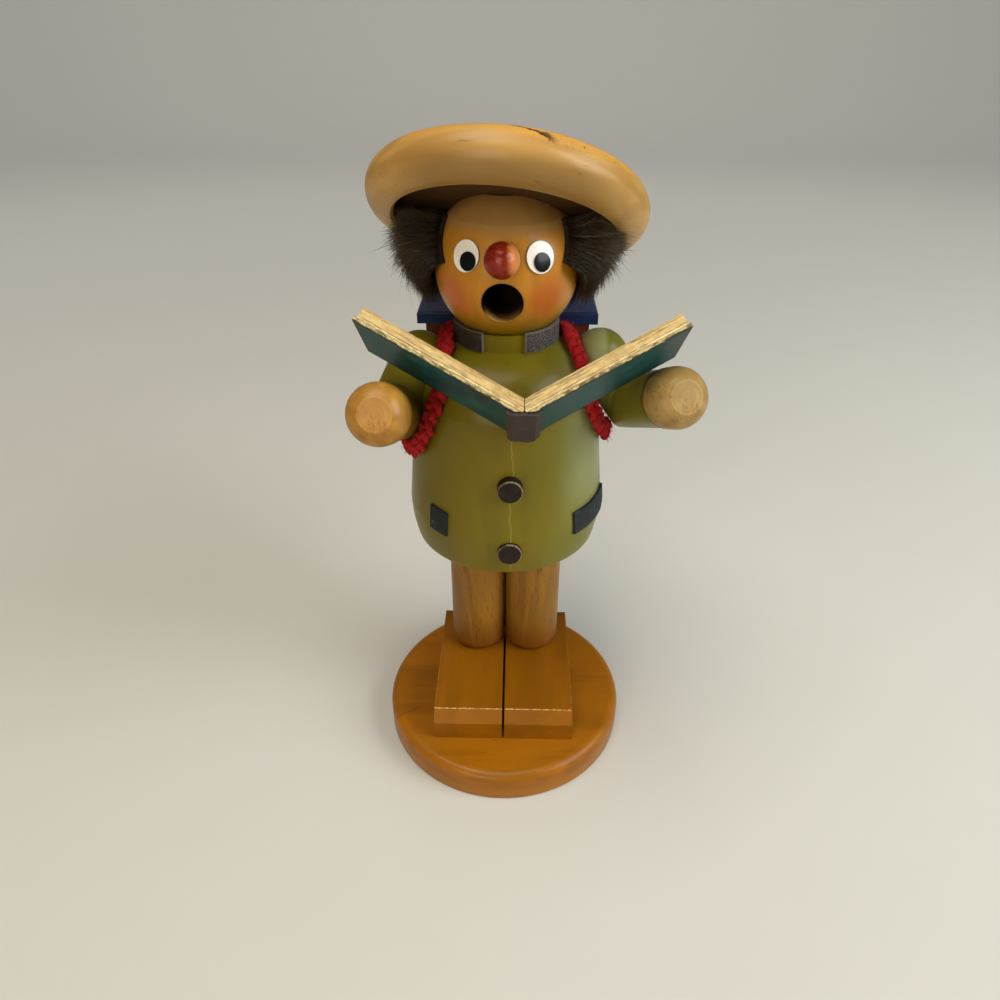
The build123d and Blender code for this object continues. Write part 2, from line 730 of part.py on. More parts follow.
def make_arm(side_name, shoulder, elbow, hand_aim):
    """Upper arm, forearm and hand of one side, mitred at the elbow."""
    upper_way = (elbow - shoulder).normalized()
    fore_way = (hand_aim - elbow).normalized()
    wrist = elbow + fore_way * sleeve_length
    mitre = Plane(origin=elbow, z_dir=upper_way + fore_way)
    with BuildPart() as upper_arm:
        with BuildSketch(Plane(origin=shoulder, z_dir=upper_way)):
            Circle(sleeve_radius)
        extrude(amount=(elbow - shoulder).length + 2 * sleeve_radius)
        with Locations(shoulder):
            Sphere(sleeve_radius)
        split(bisect_by=mitre, keep=Keep.BOTTOM)
        add(coat_envelope(glue_gap), mode=Mode.SUBTRACT)
        with BuildSketch(shoulder_peg_plane(shoulder)):
            Circle(shoulder_peg_diameter / 2 + glue_gap)
        extrude(amount=shoulder_peg_length, mode=Mode.SUBTRACT)
    save(upper_arm, f"{side_name}_upper_arm")

    back_reach = 2 * sleeve_radius
    with BuildPart() as forearm:
        with BuildSketch(Plane(origin=elbow - fore_way * back_reach, z_dir=fore_way)):
            Circle(sleeve_radius)
        extrude(amount=back_reach)
        with BuildSketch(Plane(origin=elbow, z_dir=fore_way)):
            Circle(sleeve_radius)
        with BuildSketch(Plane(origin=wrist, z_dir=fore_way)):
            Circle(cuff_radius)
        loft()
        split(bisect_by=mitre, keep=Keep.TOP)
        add(coat_envelope(glue_gap), mode=Mode.SUBTRACT)
        with BuildSketch(Plane(origin=wrist, z_dir=-fore_way)):
            Circle(hand_peg_diameter / 2 + glue_gap)
        extrude(amount=hand_peg_length + dowel_end_gap, mode=Mode.SUBTRACT)
    save(forearm, f"{side_name}_forearm")

    sideways = fore_way.cross(Vector(0, 0, 1)).normalized()
    hand_plane = Plane(origin=wrist, x_dir=sideways, z_dir=sideways.cross(fore_way))
    with BuildPart() as hand:
        with BuildSketch(hand_plane):
            with BuildLine():
                Polyline(
                    (0, hand_length),
                    (0, -hand_peg_length),
                    (hand_peg_diameter / 2, -hand_peg_length),
                    (hand_peg_diameter / 2, 0),
                    (wrist_radius, 0),
                    (wrist_radius, wrist_length),
                    (hand_radius, wrist_length),
                    (hand_radius, hand_length - hand_round_length),
                )
                TangentArc((hand_radius, hand_length - hand_round_length),
                           (hand_facet_radius, hand_length), tangent=(0, 1))
                Line((hand_facet_radius, hand_length), (0, hand_length))
            make_face()
        revolve(axis=Axis(wrist, fore_way))
    save(hand, f"{side_name}_hand")


make_arm("left", left_shoulder, left_elbow, left_hand_aim)
make_arm("right", right_shoulder, right_elbow, right_hand_aim)

# Shoulder pegs: one through each upper arm into the coat
with BuildPart() as shoulder_pegs:
    for shoulder in (left_shoulder, right_shoulder):
        with BuildSketch(shoulder_peg_plane(shoulder)):
            Circle(shoulder_peg_diameter / 2)
        extrude(amount=shoulder_peg_length - dowel_end_gap)
save(shoulder_pegs, "shoulder_pegs")

# Book: each wing is a cover board and a block of pages, joined by a leather spine
lean = radians(book_lean)
rise = radians(book_wing_rise)
spine_way = Vector(0, -cos(lean), sin(lean))
book_plane = Plane(origin=book_foot, x_dir=(1, 0, 0), z_dir=spine_way)
spine_flat_plane = Plane(origin=book_foot + book_plane.y_dir * spine_flat_height,
                         z_dir=book_plane.y_dir)


def wing_point(side, along, above):
    """Point of a wing's cross section: along the wing and above its outer face."""
    return (side * (along * cos(rise) - above * sin(rise)), along * sin(rise) + above * cos(rise))


def make_wing_slab(side, length, bottom, top, start, stop):
    """Slab of one wing between two heights above its outer face."""
    with BuildPart() as slab:
        with BuildSketch(book_plane.offset(start)):
            with BuildLine():
                Polyline(
                    (0, bottom / cos(rise)),
                    wing_point(side, length, bottom),
                    wing_point(side, length, top),
                    (0, top / cos(rise)),
                    close=True,
                )
            make_face()
        extrude(amount=stop - start)
        split(bisect_by=spine_flat_plane, keep=Keep.TOP)
    return slab


def strip_corner(side, depth):
    """Corner of the spine strip's cross section below the spine's flat, at a depth under it."""
    return (side * (spine_flat_height - depth + depth / cos(rise)) * cos(rise) / sin(rise),
            spine_flat_height - depth)


pages_top = cover_thickness + pages_thickness
for side, side_name, wing_length in ((-1, "left", book_left_wing_length),
                                     (1, "right", book_right_wing_length)):
    save(make_wing_slab(side, wing_length, 0, cover_thickness, 0, book_height),
         f"book_{side_name}_cover")
    save(make_wing_slab(side, wing_length - pages_inset, cover_thickness, pages_top,
                        pages_inset, book_height), f"book_{side_name}_pages")

strip_half = spine_strip_width / 2
strip_reach = strip_half / cos(rise)
strip_bottom = glue_gap + spine_strip_thickness
strip_outline_plane = Plane(origin=book_foot, x_dir=(1, 0, 0), z_dir=-book_plane.y_dir)
with BuildPart() as book_spine:
    with BuildSketch(book_plane.offset(-spine_tongue_length)):
        with BuildLine():
            Polyline(
                wing_point(-1, strip_reach, -glue_gap),
                strip_corner(-1, glue_gap),
                strip_corner(1, glue_gap),
                wing_point(1, strip_reach, -glue_gap),
                wing_point(1, strip_reach, -strip_bottom),
                strip_corner(1, strip_bottom),
                strip_corner(-1, strip_bottom),
                wing_point(-1, strip_reach, -strip_bottom),
                close=True,
            )
        make_face()
    extrude(amount=spine_tongue_length + book_height - pages_inset)
    with BuildSketch(strip_outline_plane):
        with Locations((spine_tongue_radius - strip_half,
                        spine_tongue_radius - spine_tongue_length)):
            Circle(spine_tongue_radius)
        with Locations((0, spine_tongue_radius - spine_tongue_length)):
            Rectangle(spine_strip_width, book_height + spine_tongue_length,
                      align=(Align.CENTER, Align.MIN))
    extrude(amount=spine_strip_width, both=True, mode=Mode.INTERSECT)
    add(coat_envelope(glue_gap), mode=Mode.SUBTRACT)
save(book_spine, "book_spine")

# Rucksack: a body hollowed to the coat's back, with a flat lid
pack_half = pack_width / 2
pack_front_y = figure_axis_y + pack_front_back
pack_rear_y = pack_front_y + pack_depth
pack_top = shoulder_line + pack_top_rise
with BuildPart() as pack_body:
    with BuildSketch(Plane.XY.offset(pack_top - pack_height)):
        with Locations((0, pack_front_y + pack_depth / 2)):
            Rectangle(pack_width, pack_depth)
    extrude(amount=pack_height)
    fillet(pack_body.edges().filter_by(Axis.Z).group_by(Axis.Y)[-1], radius=pack_edge_round)
    fillet(pack_body.faces().sort_by(Axis.Z)[0].edges().group_by(Axis.Y)[1:],
           radius=pack_edge_round / 2)
    add(coat_envelope(glue_gap), mode=Mode.SUBTRACT)
save(pack_body, "pack_body")

with BuildPart() as pack_lid:
    with BuildSketch(Plane.XY.offset(pack_top)):
        with BuildLine():
            Polyline(
                (-pack_half - lid_overhang_side, pack_front_y - lid_overhang_front),
                (pack_half + lid_overhang_side, pack_front_y - lid_overhang_front),
                (pack_half + lid_overhang_side, pack_rear_y + lid_overhang_rear),
                (-pack_half - lid_overhang_side, pack_rear_y + lid_overhang_rear),
                close=True,
            )
        make_face()
    extrude(amount=lid_thickness)
    fillet(pack_lid.edges().group_by(Axis.Z)[-1], radius=lid_edge_round)
    add(coat_envelope(glue_gap), mode=Mode.SUBTRACT)
save(pack_lid, "pack_lid")


def bend_radii(points):
    """Bend radius for each inner corner of a route, from its shorter run and its turn."""
    radii = []
    for before, here, after in zip(points, points[1:], points[2:]):
        shorter = min((here - before).length, (after - here).length)
        half_turn = radians((here - before).get_angle(after - here)) / 2
        radii.append(strap_bend_share * shorter * cos(half_turn) / sin(half_turn))
    return radii


def make_strap(route):
    """Shoulder strap as a plain tube along its route."""
    points = [figure_point(right, -behind, rise) for right, behind, rise in route]
    radii = bend_radii(points)
    with BuildPart() as strap:
        with BuildLine() as path:
            FilletPolyline(*points, radius=radii)
        with BuildSketch(Plane(origin=points[0], z_dir=points[1] - points[0])):
            Circle(strap_diameter / 2)
        sweep(path=path.line)
    return strap


save(make_strap(left_strap_route), "left_strap")
save(make_strap(right_strap_route), "right_strap")
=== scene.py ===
"""Looks of the turned incense smoker: finishes, fur, wool straps, page leaves, stage."""

import json
import math

import bpy
import numpy as np
from mathutils import Euler, Matrix, Vector


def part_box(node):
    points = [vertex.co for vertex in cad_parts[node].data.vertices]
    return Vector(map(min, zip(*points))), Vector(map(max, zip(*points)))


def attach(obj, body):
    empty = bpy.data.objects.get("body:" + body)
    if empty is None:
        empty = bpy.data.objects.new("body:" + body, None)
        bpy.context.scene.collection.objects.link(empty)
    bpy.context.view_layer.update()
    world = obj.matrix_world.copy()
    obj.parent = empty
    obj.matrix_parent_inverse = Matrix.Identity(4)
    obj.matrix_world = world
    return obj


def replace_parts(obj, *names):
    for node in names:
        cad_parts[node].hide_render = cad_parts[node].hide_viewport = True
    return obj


bl_info = {
    "name": "Incense smoker looks",
    "version": (1, 0, 0),
    "blender": (4, 5, 0),
    "location": "View3D > Sidebar > Smoker",
    "description": "Finishes, fur, wool straps and page leaves of a turned incense smoker",
    "category": "Object",
}

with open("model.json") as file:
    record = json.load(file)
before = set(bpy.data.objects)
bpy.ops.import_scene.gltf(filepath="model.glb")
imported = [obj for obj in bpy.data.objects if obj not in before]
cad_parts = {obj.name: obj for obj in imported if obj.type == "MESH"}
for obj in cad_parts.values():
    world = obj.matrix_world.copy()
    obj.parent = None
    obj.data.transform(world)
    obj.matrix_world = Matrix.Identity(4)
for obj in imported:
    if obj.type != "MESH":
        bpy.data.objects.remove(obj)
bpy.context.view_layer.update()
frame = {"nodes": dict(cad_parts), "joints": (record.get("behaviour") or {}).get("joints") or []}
NODES = frame["nodes"]

MM = 0.001
COAT_LOW, COAT_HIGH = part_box("coat")
HEAD_LOW, HEAD_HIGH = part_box("head")
SHOE_LOW, SHOE_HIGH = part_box("left_shoe")
AXIS_Y = (COAT_LOW.y + COAT_HIGH.y) / 2
HEAD_RADIUS = (HEAD_HIGH.x - HEAD_LOW.x) / 2
HEAD_FOOT = next(j["pos_m"][2] for j in frame["joints"] if j["name"] == "head_turn")
HEAD_MIDDLE = HEAD_FOOT + 12.5 * MM
HEAD_BELOW, HEAD_ABOVE = 17.2 * MM, 20.5 * MM

# The hat's place and tilt, as the CAD source has them
HAT_CENTRE = Vector((0.0, AXIS_Y + 1.1 * MM, HEAD_FOOT + 25.7 * MM))
HAT_TIP = math.radians(31.7)
HAT_ROLL = math.radians(6.5)
HAT_UP = Vector((math.sin(HAT_ROLL) * math.cos(HAT_TIP), math.sin(HAT_TIP),
                 math.cos(HAT_ROLL) * math.cos(HAT_TIP)))
HAT_ACROSS = Vector((math.cos(HAT_ROLL), 0.0, -math.sin(HAT_ROLL)))
HAT_HOLLOW = 25.4 * MM
HAT_CEILING = -0.6 * MM
HAT_LIP = -5.5 * MM

# The face's turn, the eyes and the mouth, as the CAD source has them
FACE_TURN = math.radians(-2.6)
EYE_TURN = math.radians(30.0)
EYE_Z = HEAD_FOOT + 18.7 * MM
MOUTH_RADIUS = 4.65 * MM
MOUTH_Z = HEAD_FOOT + 9.0 * MM
COLLAR_ENDS = (math.radians(-25.0), math.radians(21.0))

# The fur: the strip's lower edge at the temples, how it falls to the rear, and the outline
# that the tips reach at the temples, as radius and height above the head's foot
FUR_FOOT = HEAD_FOOT + 16.3 * MM
FUR_TOP = HEAD_FOOT + 24.8 * MM
FUR_FALL = 0.40
FUR_OUTLINE = ((18.5, 7.5), (22.0, 10.8), (25.6, 15.6), (27.6, 20.6), (28.2, 25.0), (25.2, 30.8))
STRANDS_IN_CLUMP = 16
HIDE_LIFTS = (0.12 * MM, 1.1 * MM)

# In degrees from the face's direction: where the strip starts and ends at its lower edge and how
# far it slants back as it rises, where that edge starts to fall, and the tips behind the cheek
RIGHT_TEMPLE, RIGHT_SLANT = 48, 14
LEFT_TEMPLE, LEFT_SLANT = 54, 21
FALL_START = 52
CHEEK_BACK, CHEEK_SLANT = 86.0, 32.0

# The fur's rear, in radians, where the outline draws in, and the lengths of single strands
REAR_TURN, REAR_DRAW = 1.7, 0.20
SHORTEST, LONG_FROM, LONG_BY = 0.62, 0.985, 1.28
FUR_SEED, STRAP_SEED, PAGE_SEED = 11, 5, 31

# Each hand's aim and its elbow, as the CAD source has them
SHOULDER_LINE = COAT_LOW.z + 42.0 * MM
HAND_AIMS = {
    "left": (Vector((-27.3 * MM, AXIS_Y - 35.9 * MM, SHOULDER_LINE + 9.1 * MM)),
             Vector((-27.5 * MM, AXIS_Y - 9.5 * MM, SHOULDER_LINE - 3.5 * MM))),
    "right": (Vector((38.6 * MM, AXIS_Y - 24.5 * MM, SHOULDER_LINE + 8.3 * MM)),
              Vector((32.0 * MM, AXIS_Y - 2.0 * MM, SHOULDER_LINE - 3.0 * MM))),
}
SLEEVE_LENGTH = 21.5 * MM
HAND_LENGTH = 9.2 * MM

# The book's place, as the CAD source has it; -1 is the left wing and 1 the right one
BOOK_FOOT = Vector((4.3 * MM, AXIS_Y - 27.1 * MM, SHOULDER_LINE - 1.4 * MM))
BOOK_LEAN = math.radians(42.7)
BOOK_RISE = math.radians(30.0)
WING_LENGTH = {-1: 42.2 * MM, 1: 40.4 * MM}
BOOK_HEIGHT = 18.2 * MM
SPINE_FLAT = 1.4 * MM
COVER_THICKNESS = 0.9 * MM
PAGES_THICKNESS = 2.8 * MM
PAGES_INSET = 0.5 * MM
LEAF_SHARES = (0.20, 0.62, 0.12, 0.06)
LEAF_GRID = (90, 40)
LEAF_RAGGED = 0.05 * MM
LEAF_WAVE = 0.012 * MM

# The plait's points along a strap, the point that it turns its back to, and its fibres
STRAP_POINTS = 520
STRAP_BACK = (0, AXIS_Y, COAT_LOW.z + 34 * MM)
YARN_TWIST = 1.9 * MM
FIBRE_RADIUS = 0.055 * MM

# Centre lines of the straps, as the CAD source has them: to the right of, behind and above
# the figure's axis at the shoulder line
STRAP_ROUTES = {
    "left_strap": (
        (-15.3, 16.0, 8.4), (-15.1, 12.0, 10.8), (-14.9, 6.0, 13.2),
        (-14.7, -0.5, 14.0), (-14.7, -6.5, 13.2), (-14.7, -11.9, 11.2),
        (-15.1, -15.7, 8.0), (-16.0, -17.7, 4.2), (-17.6, -18.0, 0.1),
        (-19.4, -17.1, -5.0), (-21.8, -14.9, -9.8), (-24.5, -10.2, -13.2),
        (-26.4, -3.5, -14.4), (-26.4, 3.7, -14.7), (-24.8, 10.3, -14.3),
        (-22.3, 16.0, -14.6)),
    "right_strap": (
        (15.3, 16.0, 8.4), (15.3, 12.0, 10.8), (15.4, 6.0, 13.1),
        (16.0, -0.3, 13.3), (17.1, -5.7, 11.9), (18.4, -9.9, 9.3),
        (19.5, -12.7, 5.9), (20.6, -13.8, 2.1), (21.9, -13.2, -1.7),
        (23.6, -10.7, -5.7), (25.4, -6.3, -9.3), (26.5, -0.9, -12.1),
        (26.4, 4.9, -13.6), (24.8, 10.7, -14.3), (22.3, 16.0, -14.6)),
}


def colour_setting(name, description, default):
    """A colour that a user may change."""
    return bpy.props.FloatVectorProperty(
        name=name, description=description, subtype="COLOR", size=3, default=default)


def length_setting(name, description, default):
    """A length that a user may change."""
    return bpy.props.FloatProperty(
        name=name, description=description, subtype="DISTANCE", unit="LENGTH", default=default)


def angle_setting(name, description, degrees):
    """An angle that a user may change."""
    return bpy.props.FloatProperty(
        name=name, description=description, subtype="ANGLE", unit="ROTATION",
        default=math.radians(degrees))


class SmokerWood(bpy.types.PropertyGroup):
    """Colours of the turned and painted wood."""

    stand: colour_setting("Stand stain", "Amber-brown stain of base and shoes",
                          (0.32, 0.112, 0.0025))
    leg: colour_setting("Leg wood", "Brown beech of the legs", (0.30, 0.140, 0.016))
    coat: colour_setting("Coat lacquer", "Olive lacquer of coat and sleeves",
                         (0.150, 0.125, 0.005))
    head: colour_setting("Head wood", "Amber wood of the head", (0.50, 0.215, 0.020))
    hat: colour_setting("Hat wood", "Light wood of the hat", (0.46, 0.275, 0.078))
    hand: colour_setting("Hand wood", "Pale wood of the hands", (0.41, 0.215, 0.036))
    nose: colour_setting("Nose red", "Red lacquer of the nose", (0.20, 0.012, 0.004))
    book: colour_setting("Cover green", "Teal-green paint of the book's covers",
                         (0.012, 0.070, 0.068))


class SmokerFur(bpy.types.PropertyGroup):
    """Sizes and colours of the fur strip."""

    strands: bpy.props.IntProperty(
        name="Strands", description="Strands in each third of the strip",
        default=6400, min=200, max=6600)
    reach: bpy.props.FloatProperty(
        name="Reach", description="How far the tips come towards the fur's outline",
        subtype="FACTOR", default=1.0, min=0.3, max=1.3)
    radius: length_setting("Strand radius", "Radius of a strand at its root", 0.10 * MM)
    root: colour_setting("Root colour", "Colour near the hide", (0.012, 0.008, 0.004))
    tip: colour_setting("Tip colour", "Colour at the tips", (0.078, 0.054, 0.022))


class SmokerStraps(bpy.types.PropertyGroup):
    """Sizes and colour of the plaited wool straps."""

    width: length_setting("Width", "Width of the plait", 4.5 * MM)
    pitch: length_setting("Pitch", "Length in which a strand comes back to its side", 8.6 * MM)
    colour: colour_setting("Wool red", "Colour of the wool", (0.68, 0.012, 0.016))
    fibres: bpy.props.IntProperty(
        name="Loose fibres", description="Loose fibres on each strap",
        default=2600, min=0, max=6000)


class SmokerStage(bpy.types.PropertyGroup):
    """Camera, light and floor."""

    camera: bpy.props.FloatVectorProperty(
        name="Camera", description="Place of the camera",
        subtype="TRANSLATION", unit="LENGTH", size=3, default=(0.00235, -0.1663, 0.1853))
    pitch: angle_setting("Pitch", "How far the camera looks down", 33.01)
    turn: angle_setting("Turn", "How far the camera is turned to the left", 1.27)
    lens: bpy.props.FloatProperty(
        name="Lens", description="Focal length on a 36 mm wide sensor, in millimetres",
        default=27.07)
    floor: colour_setting("Floor", "Colour of the floor and backdrop", (0.56, 0.55, 0.50))


def smooth_noise(rng, x, waves, reach):
    """Sum of sine waves with drawn phases, each half as high as the one before."""
    total = np.zeros_like(x)
    for order in range(waves):
        phase, speed = rng.uniform(0, 2 * np.pi), rng.uniform(0.8, 1.3)
        total = total + np.sin(x * speed * 2.0 ** order + phase) / 2.0 ** order
    return total * reach


def round_the_figure(turn, radius, height):
    """Points round the figure's axis, turn counted from -Y towards +X, in numpy arrays."""
    return np.stack([radius * np.sin(turn), AXIS_Y - radius * np.cos(turn),
                     height + 0 * turn], axis=-1)


def head_radius(height):
    """The head's radius at a height: an egg of two half ellipses that meet at its middle."""
    above = np.asarray(height) - HEAD_MIDDLE
    half = np.where(above < 0, HEAD_BELOW, HEAD_ABOVE)
    return HEAD_RADIUS * np.sqrt(np.clip(1 - (above / half) ** 2, 0.02, 1))


def unit(vectors):
    """Vectors scaled to length one along their last axis."""
    return vectors / np.maximum(np.linalg.norm(vectors, axis=-1, keepdims=True), 1e-12)


def square_to(vectors, way):
    """The part of each vector that stands square to a unit direction, scaled to length one."""
    return unit(vectors - np.sum(vectors * way, axis=1, keepdims=True) * way)


def signed_volume(points, faces):
    """Volume inside closed faces, negative where they point inwards."""
    total = 0.0
    for group in faces:
        corner = points[group[:, 0]]
        for k in range(1, group.shape[1] - 1):
            wedge = np.cross(points[group[:, k]], points[group[:, k + 1]])
            total += float(np.einsum("ij,ij->", corner, wedge))
    return total / 6


def new_object(name, data):
    """Object in the scene that holds this data."""
    made = bpy.data.objects.new(name, data)
    bpy.context.scene.collection.objects.link(made)
    return made


def new_mesh(name, points, faces, material, smooth=True):
    """Mesh from an array of points and arrays of faces."""
    mesh = bpy.data.meshes.new(name)
    polygons = [face for group in faces for face in group.tolist()]
    mesh.from_pydata(points.tolist(), [], polygons)
    mesh.polygons.foreach_set("use_smooth", np.full(len(polygons), smooth))
    mesh.materials.append(material)
    return mesh


def make_piece(name, points, faces, body, slot, material, uv=None, smooth=True):
    """Closed mesh from an array of points and arrays of faces, turned to point outwards."""
    if signed_volume(points, faces) < 0:
        faces = [group[:, ::-1] for group in faces]
    mesh = new_mesh(name, points, faces, material, smooth)
    if uv is not None:
        corners = np.empty(len(mesh.loops), np.int32)
        mesh.loops.foreach_get("vertex_index", corners)
        layer = mesh.uv_layers.new(name="UVMap")
        layer.data.foreach_set("uv", uv[corners].astype(np.float32).ravel())
    mesh.update()
    piece = new_object(name, mesh)
    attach(piece, body)
    return piece


def grid_quads(rows, columns, wrap=False, start=0):
    """Quads between neighbouring rows of a grid whose points are numbered row by row."""
    r = np.arange(rows - 1)[:, None]
    c = np.arange(columns if wrap else columns - 1)[None, :]
    after = (c + 1) % columns
    first = start + r * columns
    quads = np.stack([first + c, first + after, first + columns + after,
                      first + columns + c], axis=-1)
    return quads.reshape(-1, 4)


def slab(top, bottom):
    """Closed slab between two grids of the same size: both faces and the four sides."""
    rows, columns = top.shape[:2]
    count = rows * columns
    points = np.concatenate([top.reshape(-1, 3), bottom.reshape(-1, 3)])
    upper = grid_quads(rows, columns)
    lower = grid_quads(rows, columns, start=count)[:, ::-1]
    number = np.arange(count).reshape(rows, columns)
    rim = np.concatenate([number[0, :-1], number[:-1, -1], number[-1, :0:-1],
                          number[:0:-1, 0]])
    after = np.roll(rim, -1)
    sides = np.stack([after, rim, rim + count, after + count], axis=-1)
    return points, [np.concatenate([upper, lower, sides])]


def tubes(rings):
    """Closed tubes through rings of points, one tube for each entry of a 4-D array.

    The points are those of the rings, then the centre of each tube's first ring and the
    centre of its last one, which close the ends with fans.
    """
    many, rows, sides = rings.shape[:3]
    each = rows * sides
    points = np.concatenate([rings.reshape(many * each, 3), rings[:, 0].mean(axis=1),
                             rings[:, -1].mean(axis=1)])
    first = (np.arange(many) * each)[:, None, None]
    quads = (grid_quads(rows, sides, wrap=True)[None] + first).reshape(-1, 4)
    k = np.arange(sides)
    after = (k + 1) % sides
    fans = []
    for rim, offset, centre in (((after, k), 0, 0), ((k, after), each - sides, many)):
        fan = np.stack([*rim, np.zeros_like(k)], axis=-1)[None] + first + offset
        fan[:, :, 2] = (many * each + centre + np.arange(many))[:, None]
        fans.append(fan.reshape(-1, 3))
    return points, [quads, np.concatenate(fans)]


def strands(rng, line, root_radius, tip_share, u_value):
    """Three-sided tapered strands along centre lines, with u drawn and v along each one."""
    many, rows = line.shape[:2]
    along = unit(line[:, -1] - line[:, 0])
    side = unit(np.cross(along, rng.normal(size=(many, 3))))
    up = np.cross(along, side)
    turn = np.arange(3) * 2 * np.pi / 3
    share = np.linspace(0, 1, rows)
    width = root_radius * (1 - (1 - tip_share) * share ** 1.6)
    rim = (side[:, None, None] * np.cos(turn)[None, None, :, None]
           + up[:, None, None] * np.sin(turn)[None, None, :, None])
    points, faces = tubes(line[:, :, None] + rim * width[None, :, None, None])
    u = np.concatenate([np.repeat(u_value, rows * 3), u_value, u_value])
    v = np.concatenate([np.tile(np.repeat(share, 3), many), np.zeros(many), np.ones(many)])
    return points, faces, np.stack([u, v], axis=-1)


class Value:
    """A node's output to reckon with: each operator or method adds the node that it names."""

    def __init__(self, recipe, socket):
        self.recipe = recipe
        self.socket = socket

    def __add__(self, other):
        return self.recipe.math("ADD", self, other)

    def __sub__(self, other):
        return self.recipe.math("SUBTRACT", self, other)

    def __rsub__(self, other):
        return self.recipe.math("SUBTRACT", other, self)

    def __mul__(self, other):
        return self.recipe.math("MULTIPLY", self, other)

    def __truediv__(self, other):
        return self.recipe.math("DIVIDE", self, other)

    def __rtruediv__(self, other):
        return self.recipe.math("DIVIDE", other, self)

    def __or__(self, other):
        return self.recipe.math("MAXIMUM", self, other)

    def __and__(self, other):
        return self.recipe.math("MINIMUM", self, other)

    def __abs__(self):
        return self.recipe.math("ABSOLUTE", self)

    __radd__ = __add__
    __rmul__ = __mul__

    def above(self, limit):
        """Mask of 1 above a limit."""
        return self.recipe.math("GREATER_THAN", self, limit)

    def below(self, limit):
        """Mask of 1 below a limit."""
        return self.recipe.math("LESS_THAN", self, limit)

    def step(self, low, high):
        """Smooth mask that goes from 0 at low to 1 at high, also where low is above high."""
        return self.recipe.node("ShaderNodeMapRange", 0,
                                {"Value": self, "From Min": low, "From Max": high},
                                interpolation_type="SMOOTHSTEP")

    def ramp(self, low, high, base=0.0):
        """The same mask, between two places that lie so many millimetres from a base."""
        return self.step(base + low * MM, base + high * MM)

    def noise(self, scale, detail=3.0, roughness=0.55, distortion=0.0):
        """Noise value on this vector, scale in waves per metre."""
        return self.recipe.node("ShaderNodeTexNoise", "Fac",
                                {"Vector": self, "Scale": scale, "Detail": detail,
                                 "Roughness": roughness, "Distortion": distortion})

    def place(self, centre=(0, 0, 0), turn=(0, 0, 0), stretch=(1, 1, 1)):
        """This vector seen from a centre and a turned frame, then stretched."""
        seen = self.recipe.node("ShaderNodeMapping", 0,
                                {"Vector": self, "Location": centre, "Rotation": turn},
                                vector_type="TEXTURE")
        if stretch == (1, 1, 1):
            return seen
        return self.recipe.node("ShaderNodeMapping", 0, {"Vector": seen, "Scale": stretch},
                                vector_type="POINT")

    def parts(self):
        """The X, Y and Z of this vector."""
        made = self.recipe.add("ShaderNodeSeparateXYZ", {0: self})
        return [Value(self.recipe, output) for output in made.outputs]


class Recipe:
    """The nodes of one material or node group."""

    def __init__(self, tree):
        self.tree = tree

    def add(self, kind, values=(), **settings):
        """New node with its settings and its input values or links."""
        made = self.tree.nodes.new(kind)
        for key, value in settings.items():
            setattr(made, key, value)
        for key, value in dict(values).items():
            self.put(made.inputs[key], value)
        return made

    def node(self, kind, output, values=(), **settings):
        """One output of a new node."""
        return Value(self, self.add(kind, values, **settings).outputs[output])

    def put(self, socket, value):
        """Link a socket, or write a number, vector or colour into it."""
        if isinstance(value, Value):
            self.tree.links.new(value.socket, socket)
        elif socket.type == "RGBA" and len(value) == 3:
            socket.default_value = (*value, 1.0)
        else:
            socket.default_value = value

    def math(self, operation, first, second=0.0, **settings):
        """One Math node."""
        return self.node("ShaderNodeMath", 0, {0: first, 1: second}, operation=operation,
                         **settings)

    def mix(self, share, first, second, blend="MIX"):
        """Colour between two colours."""
        return self.node("ShaderNodeMix", 2, {0: share, 6: first, 7: second},
                         data_type="RGBA", blend_type=blend)

    def group(self, maker, **values):
        """Outputs of a shared node group, which is built the first time it is asked for."""
        if maker not in GROUPS:
            GROUPS[maker] = maker()
        given = {key.replace("_", " "): value for key, value in values.items()}
        made = self.add("ShaderNodeGroup", given, node_tree=GROUPS[maker])
        return [Value(self, output) for output in made.outputs]

    def send(self, **values):
        """Send a node group's values out under their names."""
        for key, value in values.items():
            self.put(self.out[key], value)
        return self.tree


GROUPS = {}


def length(first, second):
    """Length of the vector with these two parts."""
    return first.recipe.math("SQRT", first * first + second * second)


def new_group(name, outputs, **inputs):
    """Empty shader node group; an input without a default is a vector."""
    tree = bpy.data.node_groups.new(name, "ShaderNodeTree")
    for label, default in inputs.items():
        kind = "Vector" if default is None else "Float" if type(default) is float else "Color"
        made = tree.interface.new_socket(label.replace("_", " "), in_out="INPUT",
                                         socket_type=f"NodeSocket{kind}")
        if default is not None:
            made.default_value = default
    for label in outputs:
        kind = "Color" if label == "Color" else "Float"
        tree.interface.new_socket(label, in_out="OUTPUT", socket_type=f"NodeSocket{kind}")
    recipe = Recipe(tree)
    given = recipe.add("NodeGroupInput").outputs
    recipe.out = recipe.add("NodeGroupOutput").inputs
    return recipe, *(Value(recipe, given[number]) for number in range(len(inputs)))


